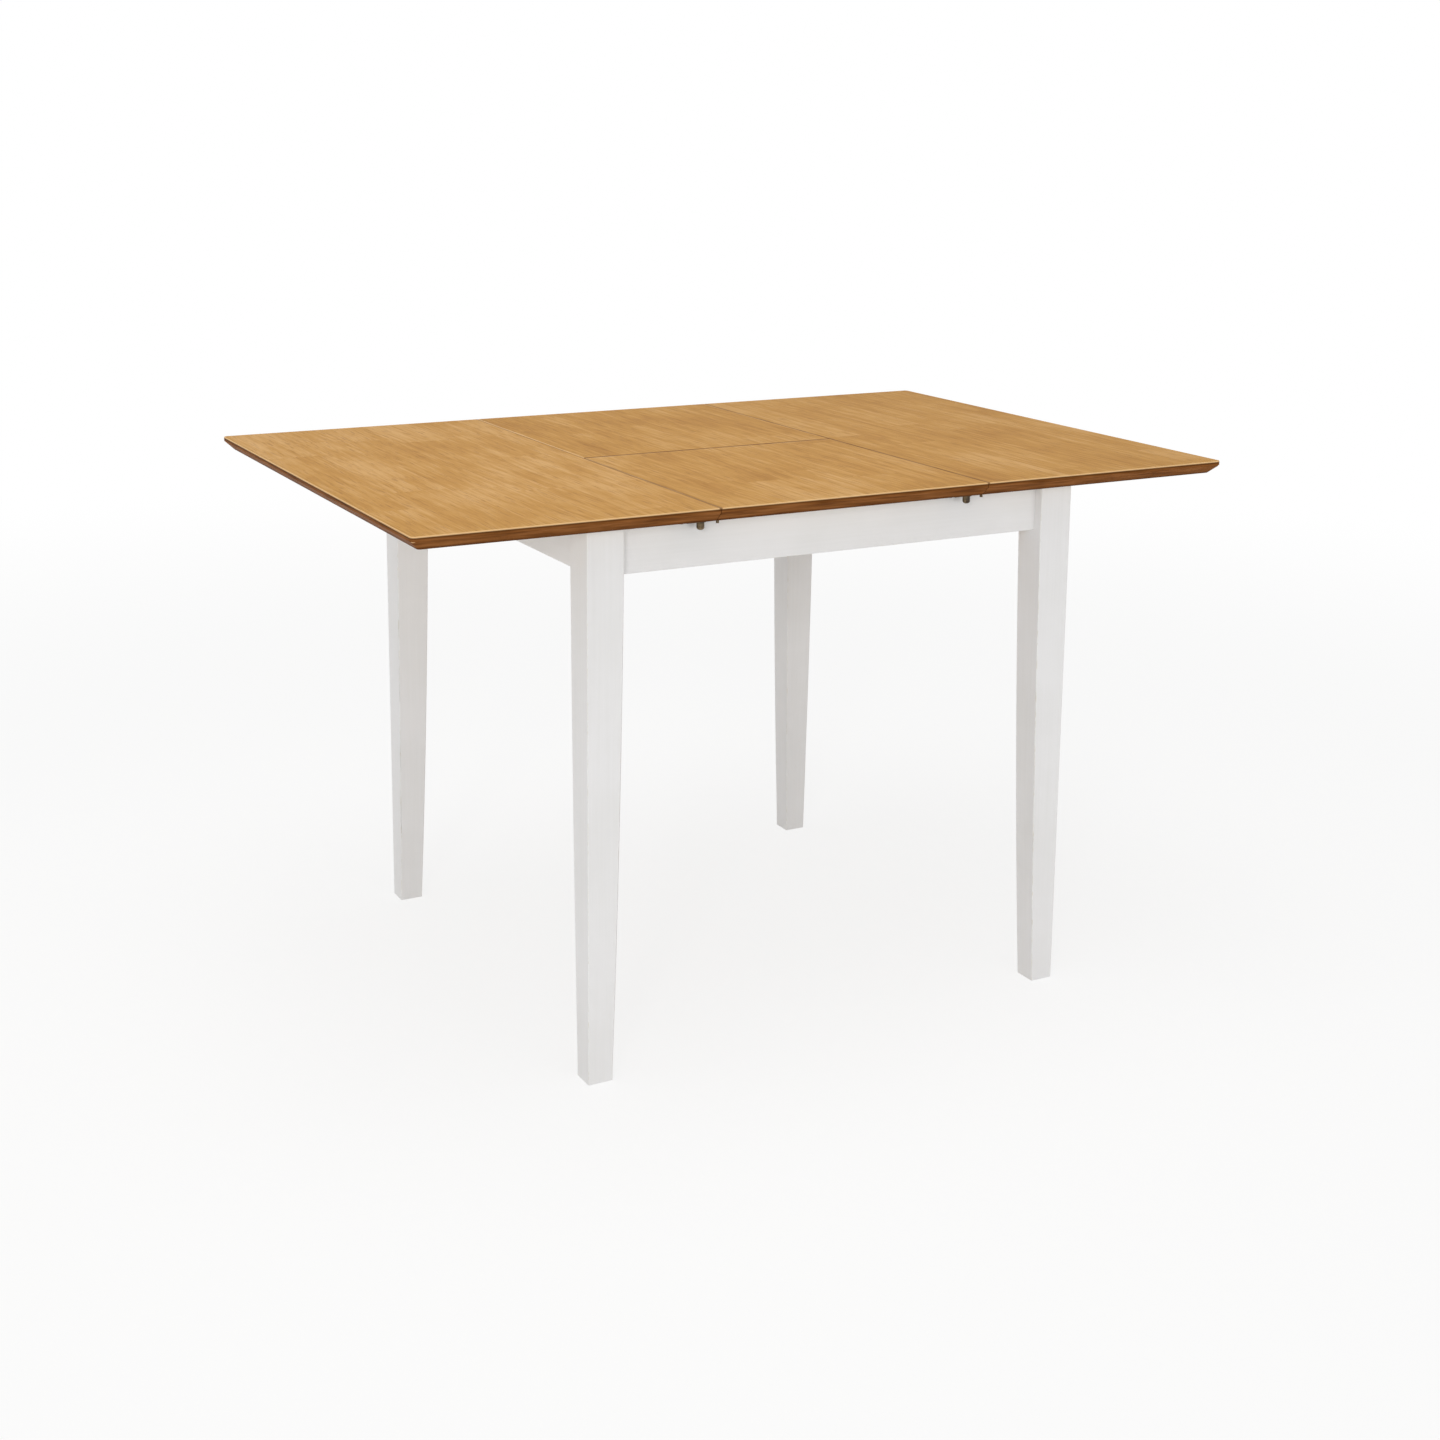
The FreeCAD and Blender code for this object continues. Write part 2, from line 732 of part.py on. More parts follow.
bearer_pieces = [
    box(
        "bearer_board",
        ("bearer_inner", "bearer_outer"),
        ("-apron_inner_y", "apron_inner_y"),
        ("bearer_bottom", "bearer_top"),
    )
] + [
    box(f"bearer_tenon_{end}", tenon_across("bearer_offset"), span, LOW_TENON_LEVELS)
    for end, span in ends_of(("apron_inner_y", "apron_inner_y + short_tenon"))
]
bearer_cuts = [
    box(
        "bearer_trough",
        ("bearer_inner - overrun", "bearer_outer + overrun"),
        ("trough_front", "trough_back"),
        ("trough_floor", "bearer_top + overrun"),
    )
] + [
    box(
        f"bearer_arch_{end}",
        ("bearer_inner - overrun", "bearer_outer + overrun"),
        span,
        ("bearer_bottom - overrun", "block_bottom"),
    )
    for end, span in ends_of(("bearer_arch", "apron_inner_y + overrun"))
] + [
    rod(
        f"bearer_bore_{place}",
        "axle_radius + fit_clear",
        "bearer_width + 2 * overrun",
        "bearer_inner - overrun",
        place,
        "axle_height",
        ALONG_X,
    )
    for place in ("axle_front", "axle_rear")
]
bearer = cut("bearer", fused("bearer_blank", bearer_pieces), bearer_cuts)
for side, x in (("right", "0"), ("left", "-2 * bearer_offset")):
    node(copy_of(f"bearer_{side}", bearer, x), f"bearer_{side}")

# Swing arms on their axles, drawn along +Y and then turned up about X to meet the lugs

SWING_ANGLE = "180 - asin(arm_climb / arm_length) / 1 deg"
for end in ("front", "rear"):
    axle = rod(
        f"swing_axle_{end}",
        "axle_radius",
        "2 * (bearer_outer + axle_end)",
        "-bearer_outer - axle_end",
        f"axle_{end}",
        "axle_height",
        ALONG_X,
    )
    node(axle, f"swing_axle_{end}")
    bar = box(
        f"arm_bar_{end}", ("0", "arm_thickness"), ("0", "arm_length"), ("-arm_width / 2", "arm_width / 2")
    )
    rounds = [
        rod(f"arm_end_{end}_{n}", "arm_width / 2", "arm_thickness", y=y, turn=ALONG_X)
        for n, y in enumerate(("0", "arm_length"))
    ]
    play = "open_clear" if end == "front" else "fit_clear"
    holes = [
        rod(f"arm_axle_hole_{end}", "axle_radius + fit_clear", "arm_thickness", turn=ALONG_X),
        rod(f"arm_pin_hole_{end}", f"pin_radius + {play}", "arm_thickness", y="arm_length", turn=ALONG_X),
    ]
    arm = cut(f"arm_{end}", fused(f"arm_blank_{end}", [bar] + rounds), holes)
    for side, x in (("left", "-arm_outer"), ("right", "arm_inner")):
        placed = copy_of(f"swing_arm_{end}_{side}", arm, x, f"axle_{end}", "axle_height", AGAINST_Y)
        placed.setExpression("Placement.Rotation.Angle", formula(SWING_ANGLE))
        node(placed, f"swing_arm_{end}_{side}")

# Lugs under the front leaf panel, with their screws and the pins that the arms turn on

lug_pieces = [
    box(
        "lug_plate",
        ("lug_outer - lug_plate_width", "lug_outer"),
        ("-lug_plate_length / 2", "lug_plate_length / 2"),
        ("underside - lug_plate_thickness", "underside"),
    ),
    box(
        "lug_ear",
        ("lug_inner", "lug_outer"),
        ("-arm_width / 2", "arm_width / 2"),
        ("pin_height", "underside"),
    ),
    rod("lug_eye", "arm_width / 2", "lug_thickness", "lug_inner", "0", "pin_height", ALONG_X),
]
lug_screw_spots = [
    (
        "lug_inner - (lug_plate_width - lug_thickness) / 2",
        f"{sign}lug_screw_spread",
        "underside - lug_plate_thickness",
    )
    for side, sign in BOTH_SIDES
]
lug_screw_holes = [small_screw_hole(f"lug_screw_hole_{n}", *s) for n, s in enumerate(lug_screw_spots)]
lug_screws = [small_screw(f"lug_screw_{n}", *s) for n, s in enumerate(lug_screw_spots)]
lug_pin_hole = rod(
    "lug_pin_hole", "pin_radius + fit_clear", "lug_thickness", "lug_inner", "0", "pin_height", ALONG_X
)
lug = cut("lug", fused("lug_blank", lug_pieces), lug_screw_holes + [lug_pin_hole])
lug_pin = fused(
    "lug_pin",
    [
        rod(
            "lug_pin_shaft",
            "pin_radius",
            "arm_outer + pin_play - lug_inner",
            "lug_inner",
            "0",
            "pin_height",
            ALONG_X,
        ),
    ]
    + [
        rod(f"lug_pin_{end}", "pin_head_radius", "pin_head", x, "0", "pin_height", ALONG_X)
        for end, x in (("head", "lug_inner - pin_head"), ("rivet", "arm_outer + pin_play"))
    ],
)


def at_lugs(name, pieces):
    """The pieces of one lug at all four places under the front leaf panel."""
    return [
        put(group(f"{name}_{end}_{side}", pieces), y=f"-lug_{end}", turn=turn)
        for end in ("front", "rear")
        for side, turn in (("right", UPRIGHT), ("left", HALF_TURN))
    ]


for label, pieces in (("leaf_lugs", [lug]), ("lug_screws", lug_screws), ("lug_pins", [lug_pin])):
    node(group(label, at_lugs(label, pieces)), label)

# Turn latches, drawn at a seam with the latch at -X and its keeper at +X

PLATE_LEVELS = ("underside - plate_thickness", "underside")
PLATE_END = "(seam_half + latch_plate_edge)"
latch_plate_blank = fused(
    "latch_plate_blank",
    [
        box(
            "latch_plate_strip",
            (f"-{PLATE_END} - latch_plate_length", f"-{PLATE_END}"),
            ("-latch_plate_width / 2", "latch_plate_width / 2"),
            PLATE_LEVELS,
        ),
        rod("latch_stud", "stud_radius", "stud_drop", "-latch_setback", "0", "underside - stud_drop"),
    ],
)
latch_screw_spots = [
    (f"latch_screw_first + {n} * latch_screw_pitch - latch_plate_length - {PLATE_END}", "0", PLATE_LEVELS[0])
    for n in range(2)
]
latch_screw_holes = [small_screw_hole(f"latch_hole_{n}", *s) for n, s in enumerate(latch_screw_spots)]
latch_screws = [small_screw(f"latch_screw_{n}", *s) for n, s in enumerate(latch_screw_spots)]
latch_plate = cut("latch_plate", latch_plate_blank, latch_screw_holes)

keeper_blank = fused(
    "keeper_blank",
    [
        box(
            "keeper_strip",
            (PLATE_END, f"{PLATE_END} + keeper_length"),
            ("-keeper_width / 2", "keeper_width / 2"),
            PLATE_LEVELS,
        ),
        rod(
            "keeper_pin",
            "keeper_pin_radius",
            "keeper_pin_drop",
            "latch_reach",
            "0",
            "underside - keeper_pin_drop",
        ),
    ],
)
keeper_screw_spots = [
    ("latch_reach", f"{sign}keeper_screw_spread", PLATE_LEVELS[0]) for side, sign in BOTH_SIDES
]
keeper_screw_holes = [small_screw_hole(f"keeper_hole_{n}", *s) for n, s in enumerate(keeper_screw_spots)]
keeper_screws = [small_screw(f"keeper_screw_{n}", *s) for n, s in enumerate(keeper_screw_spots)]
keeper = cut("keeper", keeper_blank, keeper_screw_holes)

LEVER_TIP = "(-latch_setback - latch_radius - lever_tip)"
knob_bar = rod(
    "knob_bar", "knob_radius", "lever_bottom - knob_bottom", "-latch_setback", "0", "knob_bottom"
)
knob = rounded("knob", knob_bar, "knob_round", lambda b: same(b.ZMax, number_of("knob_bottom")))
lever_blank = fused(
    "lever_blank",
    [
        rod("lever_hub", "lever_hub_radius", "lever_thickness", "-latch_setback", "0", "lever_bottom"),
        box(
            "lever_bar",
            (LEVER_TIP, "-latch_setback"),
            ("-lever_width / 2", "lever_width / 2"),
            ("lever_bottom", "lever_top"),
        ),
        rod("lever_end", "lever_width / 2", "lever_thickness", LEVER_TIP, "0", "lever_bottom"),
        knob,
    ],
)
lever = cut(
    "lever",
    lever_blank,
    [
        rod(
            "lever_bore",
            "stud_radius + fit_clear",
            "stud_drop + tip_clear",
            "-latch_setback",
            "0",
            "underside - stud_drop - tip_clear",
        ),
        box(
            "lever_slot",
            (
                "-latch_setback - latch_radius - keeper_pin_radius - slot_clear",
                "-latch_setback - latch_radius + keeper_pin_radius + slot_clear",
            ),
            ("-lever_width / 2 - overrun", "keeper_pin_radius + slot_clear"),
            ("lever_bottom - overrun", "lever_top + overrun"),
        ),
    ],
)

FRONT_LEFT = ("-seam", "-latch_line", "0", UPRIGHT)
FRONT_RIGHT = ("seam", "-latch_line", "0", UPRIGHT)
BACK_LEFT = ("-seam", "latch_line", "0", HALF_TURN)
BACK_RIGHT = ("seam", "latch_line", "0", HALF_TURN)
# which seam end each panel's latch and keeper belong to
FITTINGS = {
    "left": (FRONT_LEFT, BACK_LEFT),
    "right": (BACK_RIGHT, FRONT_RIGHT),
    "leaf_front": (FRONT_RIGHT, FRONT_LEFT),
    "leaf_back": (BACK_LEFT, BACK_RIGHT),
}
for owner, (latch_spot, keeper_spot) in FITTINGS.items():
    node(copy_of(f"latch_plate_{owner}", latch_plate, *latch_spot), f"latch_plate_{owner}")
    node(copy_of(f"latch_lever_{owner}", lever, *latch_spot), f"latch_lever_{owner}")
    node(copy_of(f"keeper_{owner}", keeper, *keeper_spot), f"keeper_{owner}")
    latch_set = put(group(f"latch_screws_{owner}_latch", latch_screws), *latch_spot)
    keeper_set = put(group(f"latch_screws_{owner}_keeper", keeper_screws), *keeper_spot)
    node(group(f"latch_screws_{owner}", [latch_set, keeper_set]), f"latch_screws_{owner}")


def fitting_holes(owner):
    """The screw holes of one panel's latch and keeper."""
    latch_spot, keeper_spot = FITTINGS[owner]
    return [
        put(group(f"latch_holes_{owner}", latch_screw_holes), *latch_spot),
        put(group(f"keeper_holes_{owner}", keeper_screw_holes), *keeper_spot),
    ]


# Runners under each half, with their screws and stop pegs in the web behind the groove

FRONT_WEB = "-outer_track_far + (runner_width - tongue_depth) / 2"
TRACK_STEP = "inner_track_near + outer_track_far"
RUNNER_SCREW_LENGTH = "(runner_height - counterbore_depth + screw_bite)"
RUNNER_SCREW_SEAT = "rail_bottom + counterbore_depth"
runner_screws, runner_holes = [], []
runner_screw_spots = [f"-half_edge - {share} * (peg_place - half_edge)" for share in NEAR_SCREW_SHARES]
runner_screw_spots += [f"-peg_place - {share} * (runner_end - peg_place)" for share in FAR_SCREW_SHARES]
for n, x in enumerate(runner_screw_spots, start=1):
    name = f"runner_screw_{n}"
    runner_screws.append(wood_screw(name, RUNNER_SCREW_LENGTH, x, FRONT_WEB, RUNNER_SCREW_SEAT))
    runner_holes.append(
        wood_screw_hole(
            f"{name}_hole", RUNNER_SCREW_LENGTH, "counterbore_depth", x, FRONT_WEB, RUNNER_SCREW_SEAT
        )
    )
runner_bar = box(
    "runner_bar",
    ("-runner_end", "-runner_lead"),
    ("-outer_track_far", "-outer_track_near"),
    ("rail_bottom", "underside"),
)
runner_eased = rounded(
    "runner_eased",
    runner_bar,
    "runner_round",
    lambda b: same(b.ZMax, number_of("rail_bottom")) and b.XLength > b.YLength,
)
runner_cuts = runner_holes + [
    box(
        "runner_groove",
        ("-runner_end - overrun", "overrun - runner_lead"),
        ("-outer_track_near - tongue_depth", "overrun - outer_track_near"),
        (
            "rail_middle - tongue_height / 2 - slide_clear",
            "rail_middle + tongue_height / 2 + slide_clear",
        ),
    ),
    box(
        "runner_relief",
        ("-half_edge", "overrun - runner_lead"),
        ("-outer_track_far - overrun", "overrun - outer_track_near"),
        ("underside - slide_clear", "underside + overrun"),
    ),
    rod(
        "runner_peg_hole",
        "peg_radius + fit_clear",
        "peg_seat + tip_clear + overrun",
        "-peg_place",
        FRONT_WEB,
        "rail_bottom - overrun",
    ),
]
runner = cut("runner", runner_eased, runner_cuts)
peg = rod(
    "stop_peg", "peg_radius", "peg_drop + peg_seat", "-peg_place", FRONT_WEB, "rail_bottom - peg_drop"
)


def on_both_tracks(name, pieces):
    """Pieces of the left half's front runner, and again for its back runner."""
    return [
        group(f"{name}_front", pieces),
        put(group(f"{name}_back", pieces), y=TRACK_STEP),
    ]


node(copy_of("runner_left_front", runner), "runner_left_front")
node(copy_of("runner_left_back", runner, y=TRACK_STEP), "runner_left_back")
node(copy_of("runner_right_back", runner, turn=HALF_TURN), "runner_right_back")
node(copy_of("runner_right_front", runner, y=f"-({TRACK_STEP})", turn=HALF_TURN), "runner_right_front")
for label, pieces in (("runner_screws", runner_screws), ("stop_pegs", [peg])):
    both = group(label, on_both_tracks(label, pieces))
    node(copy_of(f"{label}_left", both), f"{label}_left")
    node(copy_of(f"{label}_right", both, turn=HALF_TURN), f"{label}_right")

# Panels of the top: bevelled below and eased above on the outer edges, nearly sharp at the seams


def dressed(body, kind, name, base, test, **size):
    """A chamfer or fillet on the edges of a feature that pass a test."""
    feature = body.newObject(kind, name)
    feature.Base = (base, [f"Edge{n}" for n in edges_where(base.Shape, test)])
    bind(feature, **size)
    doc.recompute()
    return feature


def board(name, length, width):
    """A plain board of the top's thickness, with its lowest corner at the body's origin."""
    body = doc.addObject("PartDesign::Body", name)
    sketch = sketch_on(body, f"{name}_outline", "XY_Plane")
    corners = [Vector(0, 0), Vector(1, 0), Vector(1, 1), Vector(0, 1)]
    for side, way in enumerate(("Horizontal", "Vertical", "Horizontal", "Vertical")):
        sketch.addGeometry(Part.LineSegment(corners[side], corners[(side + 1) % 4]))
        sketch.addConstraint(Sketcher.Constraint(way, side))
    for side in range(4):
        sketch.addConstraint(Sketcher.Constraint("Coincident", side, 2, (side + 1) % 4, 1))
    sketch.addConstraint(Sketcher.Constraint("Coincident", 0, 1, -1, 1))
    measure(sketch, "DistanceX", (0, 1, 0, 2), length)
    measure(sketch, "DistanceY", (1, 1, 1, 2), width)
    return body, padded(body, sketch, "top_thickness")


def half_panel(name):
    """A half of the top: its seam edge is the one at the far end of X."""
    body, blank = board(name, "half_length", "top_width")
    length, width, thick = number_of("half_length"), number_of("top_width"), number_of("top_thickness")

    def is_outer(b):
        return same(b.XMin, 0) or same(b.YMax, 0) or same(b.YMin, width)

    bevel = dressed(
        body,
        "PartDesign::Chamfer",
        f"{name}_bevel",
        blank,
        lambda b: same(b.ZMax, 0) and is_outer(b) and not same(b.XMin, length),
        Size="edge_bevel",
    )
    corners = dressed(
        body,
        "PartDesign::Fillet",
        f"{name}_corners",
        bevel,
        lambda b: not same(b.ZLength, 0) and b.XMax < length / 2,
        Radius="corner_round",
    )
    seam = dressed(
        body,
        "PartDesign::Chamfer",
        f"{name}_seam",
        corners,
        lambda b: same(b.ZMin, thick) and same(b.XMin, length),
        Size="seam_ease",
    )
    dressed(
        body,
        "PartDesign::Fillet",
        f"{name}_arris",
        seam,
        lambda b: same(b.ZMin, thick) and is_outer(b),
        Radius="edge_round",
    )
    return body


def leaf_panel(name):
    """A panel of the leaf: its outer edge is the one at the start of Y."""
    body, blank = board(name, "panel_length", "panel_width")
    thick = number_of("top_thickness")

    def is_outer(b):
        return same(b.YMax, 0)

    bevel = dressed(
        body,
        "PartDesign::Chamfer",
        f"{name}_bevel",
        blank,
        lambda b: same(b.ZMax, 0) and is_outer(b),
        Size="edge_bevel",
    )
    seams = dressed(
        body,
        "PartDesign::Chamfer",
        f"{name}_seams",
        bevel,
        lambda b: same(b.ZMin, thick) and not is_outer(b),
        Size="seam_ease",
    )
    dressed(
        body,
        "PartDesign::Fillet",
        f"{name}_arris",
        seams,
        lambda b: same(b.ZMin, thick) and is_outer(b),
        Radius="edge_round",
    )
    return body


half = put(half_panel("half_blank"), "-top_length / 2", "-top_width / 2", "underside")
half_holes = on_both_tracks("half_runner_holes", runner_holes) + fitting_holes("left")
node(cut("top_left", half, half_holes), "top_left")
node(put(cut("top_right", half, half_holes), turn=HALF_TURN), "top_right")

BARREL_HEIGHT = "top_height - top_thickness / 2"
barrels, barrel_bores = [], []
for share in BARREL_SHARES:
    x = f"{share} * leaf_length"
    name = f"hinge_barrel_{int(share * 100 + 100)}"
    plug = rod(f"{name}_plug", "barrel_radius", "barrel_depth", x, "-seam_half", BARREL_HEIGHT, AGAINST_Y)
    slot = box(
        f"{name}_slot",
        (f"{x} - barrel_slot / 2", f"{x} + barrel_slot / 2"),
        ("-seam_half - barrel_slot_depth", "overrun"),
        (f"{BARREL_HEIGHT} - barrel_radius - overrun", f"{BARREL_HEIGHT} + barrel_radius + overrun"),
    )
    barrels.append(cut(name, plug, [slot]))
    barrel_bores.append(
        rod(
            f"{name}_bore",
            "barrel_radius + fit_clear",
            "barrel_depth + tip_clear + seam_half",
            x,
            "0",
            BARREL_HEIGHT,
            AGAINST_Y,
        )
    )
leaf = put(leaf_panel("leaf_blank"), "-panel_length / 2", "-top_width / 2", "underside")
leaf_common_holes = fitting_holes("leaf_front") + barrel_bores
lug_hole_sets = at_lugs("lug_holes", lug_screw_holes)
node(cut("leaf_front", leaf, leaf_common_holes + lug_hole_sets), "leaf_front")
node(put(cut("leaf_back", leaf, leaf_common_holes), turn=HALF_TURN), "leaf_back")
barrel_set = group("hinge_barrels", barrels)
node(copy_of("hinge_barrels_front", barrel_set), "hinge_barrels_front")
node(copy_of("hinge_barrels_back", barrel_set, turn=HALF_TURN), "hinge_barrels_back")

# Every object must be sound before anything is written

doc.recompute()
faults = [o.Label for o in doc.Objects if "Invalid" in o.State or "Error" in o.State]
faults += [o.Label for o in nodes if o.Shape.isNull() or not o.Shape.isValid() or not o.Shape.Solids]
if faults:
    raise SystemExit("not sound: " + ", ".join(faults))

os.makedirs("parts", exist_ok=True)
for piece in nodes:
    piece.Shape.exportStep(f"parts/{piece.Label}.step")
print(len(nodes), "nodes")
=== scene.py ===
# %% [markdown]
# # A butterfly leaf table
# The table stands drawn out to its full length, with its folding leaf laid between the two halves of the
# top. The solid model already gives every piece its place and size, so this lesson dresses it: the solids
# are loaded once as a fixed frame, and whatever is added later rides on one of the bodies of that frame.
# The box round the solids is kept from the start.

# %% Load the solid pieces
import math

import bmesh
import bpy
from mathutils import Color, Matrix, Vector


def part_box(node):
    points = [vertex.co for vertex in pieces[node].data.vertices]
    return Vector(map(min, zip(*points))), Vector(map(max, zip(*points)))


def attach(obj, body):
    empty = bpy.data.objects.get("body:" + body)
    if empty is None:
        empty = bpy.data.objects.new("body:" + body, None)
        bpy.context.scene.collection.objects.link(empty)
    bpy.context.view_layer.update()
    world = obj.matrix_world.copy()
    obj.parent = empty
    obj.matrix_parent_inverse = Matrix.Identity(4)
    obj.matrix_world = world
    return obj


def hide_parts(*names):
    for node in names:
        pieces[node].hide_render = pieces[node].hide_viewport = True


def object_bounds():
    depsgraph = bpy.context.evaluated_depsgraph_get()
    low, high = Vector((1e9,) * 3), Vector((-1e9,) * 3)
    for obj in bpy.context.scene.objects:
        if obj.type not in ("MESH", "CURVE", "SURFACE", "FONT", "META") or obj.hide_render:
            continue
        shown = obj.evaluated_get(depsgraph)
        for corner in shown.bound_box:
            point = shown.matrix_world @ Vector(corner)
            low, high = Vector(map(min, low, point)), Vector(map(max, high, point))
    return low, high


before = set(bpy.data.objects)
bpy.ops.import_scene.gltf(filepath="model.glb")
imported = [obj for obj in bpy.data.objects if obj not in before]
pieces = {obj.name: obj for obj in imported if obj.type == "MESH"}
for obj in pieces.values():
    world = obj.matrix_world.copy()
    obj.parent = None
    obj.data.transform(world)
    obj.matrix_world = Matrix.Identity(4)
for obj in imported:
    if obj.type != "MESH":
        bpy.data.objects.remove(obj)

solid_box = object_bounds()
scene = bpy.context.scene


def rounded(box):
    """The two corners of a box, to the millimetre."""
    return [tuple(round(v, 3) for v in corner) for corner in box]


print("pieces loaded:", len(pieces))
print("box of the solids in metres:", rounded(solid_box))

# %% [markdown]
# ## The camera
# The table is seen from its front left, a little above the top, through a lens of ordinary length. The
# picture keeps its upright lines nearly parallel, as photographers do by sliding the lens instead of
# tipping the whole camera. Blender's lens shift does the same. Only a little of it is used here, because
# every other view keeps the shift too, and a large one would push the table out of those pictures.

# %% Set up the camera
PICTURE_SIDE = 1440
SENSOR_WIDTH = 36.0
FOCAL_PIXELS = 2048.0
CAMERA_PLACE = Vector((-1.376, -2.562, 1.222))
CAMERA_TURN = math.radians(-28.5)
CAMERA_HEIGHT_ANGLE = math.radians(10.97)
CAMERA_ROLL = math.radians(0.55)
LENS_SHIFT = -0.15

towards_camera = Vector((
    math.sin(CAMERA_TURN) * math.cos(CAMERA_HEIGHT_ANGLE),
    -math.cos(CAMERA_TURN) * math.cos(CAMERA_HEIGHT_ANGLE),
    math.sin(CAMERA_HEIGHT_ANGLE),
))
lens = bpy.data.cameras.new("table_camera")
lens.sensor_width = SENSOR_WIDTH
lens.lens = FOCAL_PIXELS / PICTURE_SIDE * SENSOR_WIDTH
lens.shift_y = LENS_SHIFT
camera = bpy.data.objects.new("table_camera", lens)
level = (-towards_camera).to_track_quat("-Z", "Y").to_matrix()
camera.matrix_world = (level @ Matrix.Rotation(CAMERA_ROLL, 3, "Z")).to_4x4()
camera.location = CAMERA_PLACE
scene.collection.objects.link(camera)
scene.camera = camera
print("lens in millimetres:", round(lens.lens, 1))

# %% [markdown]
# ## The floor sheet
# The table stands on a plain pale floor. A studio would roll out a wide sheet of paper, and one large square
# does the same here. It lies a hair below the feet, because two faces at the same height would flicker.

# %% Floor sheet
FLOOR_HALF = 30.0
FLOOR_DROP = 0.0003
FLOOR_CORNERS = [(-1, -1, 0), (1, -1, 0), (1, 1, 0), (-1, 1, 0)]

floor_mesh = bpy.data.meshes.new("studio_floor")
floor_mesh.from_pydata(FLOOR_CORNERS, [], [(0, 1, 2, 3)])
floor = bpy.data.objects.new("studio_floor", floor_mesh)
floor.scale = (FLOOR_HALF, FLOOR_HALF, 1)
floor.location.z = -FLOOR_DROP
scene.collection.objects.link(floor)
print("floor side in metres:", 2 * FLOOR_HALF)

# %% [markdown]
# ## Tools for numbers
# A finish in Blender is a web of shader nodes, and the same few steps come back in every one. Such a web
# could be drawn by hand in the shader editor. Written as small tools, each step gets a name, and a finish
# reads like a recipe. The first tools turn a colour of a paint chart into light, and work out numbers.

# %% Chart colours and numbers
CHART_FULL = 255


def shade(red, green, blue):
    """A colour as a paint chart gives it, from 0 to 255, turned into the light values that Blender uses."""
    chart = Color((red / CHART_FULL, green / CHART_FULL, blue / CHART_FULL))
    return (*chart.from_srgb_to_scene_linear(), 1.0)


def feed(tree, socket, value):
    """Put a number, a vector or another node's output into a socket."""
    if isinstance(value, bpy.types.NodeSocket):
        tree.links.new(value, socket)
    else:
        socket.default_value = value


def sum_of(tree, operation, *values, clamp=False):
    """One step of arithmetic."""
    node = tree.nodes.new("ShaderNodeMath")
    node.operation = operation
    node.use_clamp = clamp
    for socket, value in zip(node.inputs, values):
        feed(tree, socket, value)
    return node.outputs[0]


def between(tree, value, low, high, first=0.0, last=1.0):
    """Turn the stretch from low to high into the stretch from first to last, smoothly, and stop there."""
    node = tree.nodes.new("ShaderNodeMapRange")
    node.interpolation_type = "SMOOTHSTEP"
    for socket, number in zip(node.inputs, (value, low, high, first, last)):
        feed(tree, socket, number)
    return node.outputs[0]


print("middle grey of the chart as light:", round(shade(128, 128, 128)[0], 3))

# %% [markdown]
# ## The floor's finish
# The floor's own colour is nearly white. A brighter lamp would turn it fully white, but would bleach the
# table too. So part of the floor shines at a strength of one to the eye of the camera alone: the picture's
# ground stays white, and the shadow under the legs stays too. Far out it shines fully, and the floor's edge
# melts into the white of the studio. From below the floor lets the view through.

# %% Floor finish
FLOOR_COLOUR = shade(249, 249, 248)
FLOOR_GLOW = 0.78
GLOW_STARTS = 1.2
GLOW_FULL = 4.0


def seen_directly(tree):
    """One where the ray comes from the camera, or by way of a mirror or glass."""
    path = tree.nodes.new("ShaderNodeLightPath")
    first = sum_of(tree, "ADD", path.outputs["Is Camera Ray"], path.outputs["Is Glossy Ray"])
    return sum_of(tree, "ADD", first, path.outputs["Is Transmission Ray"], clamp=True)


def mixed_shaders(tree, share, first, second):
    """Two shaders mixed by a share of the second."""
    node = tree.nodes.new("ShaderNodeMixShader")
    feed(tree, node.inputs[0], share)
    tree.links.new(first, node.inputs[1])
    tree.links.new(second, node.inputs[2])
    return node.outputs[0]


def pale_floor(name):
    """A matt floor that shines a little to the camera, keeps its shadow and is open from below."""
    finish = bpy.data.materials.new(name)
    finish.use_nodes = True
    tree = finish.node_tree
    tree.nodes.remove(tree.nodes["Principled BSDF"])
    matt = tree.nodes.new("ShaderNodeBsdfDiffuse")
    matt.inputs["Color"].default_value = FLOOR_COLOUR
    glow = tree.nodes.new("ShaderNodeEmission")
    open_below = tree.nodes.new("ShaderNodeBsdfTransparent")
    spot = tree.nodes.new("ShaderNodeNewGeometry")
    distance = tree.nodes.new("ShaderNodeVectorMath")
    distance.operation = "LENGTH"
    tree.links.new(spot.outputs["Position"], distance.inputs[0])
    share = between(tree, distance.outputs["Value"], GLOW_STARTS, GLOW_FULL, FLOOR_GLOW, 1.0)
    share = sum_of(tree, "MULTIPLY", share, seen_directly(tree))
    shine = mixed_shaders(tree, share, matt.outputs[0], glow.outputs[0])
    both_sides = mixed_shaders(tree, spot.outputs["Backfacing"], shine, open_below.outputs[0])
    tree.links.new(both_sides, tree.nodes["Material Output"].inputs["Surface"])
    return finish


floor_mesh.materials.append(pale_floor("pale_floor"))
print("floor shines to the camera with a share of", FLOOR_GLOW)

# %% [markdown]
# ## Light
# A white room lights the table evenly from all round, and four soft lamps give the faces their small
# differences: the front a little brighter than the left side, and the top as bright as its stain is written.
# A picture of a real room could light it too, but lamps can be judged one by one. The levels are plain ones,
# at which a colour comes out about as it was mixed, so nothing is tuned to hide a finish that would look
# wrong in another room.

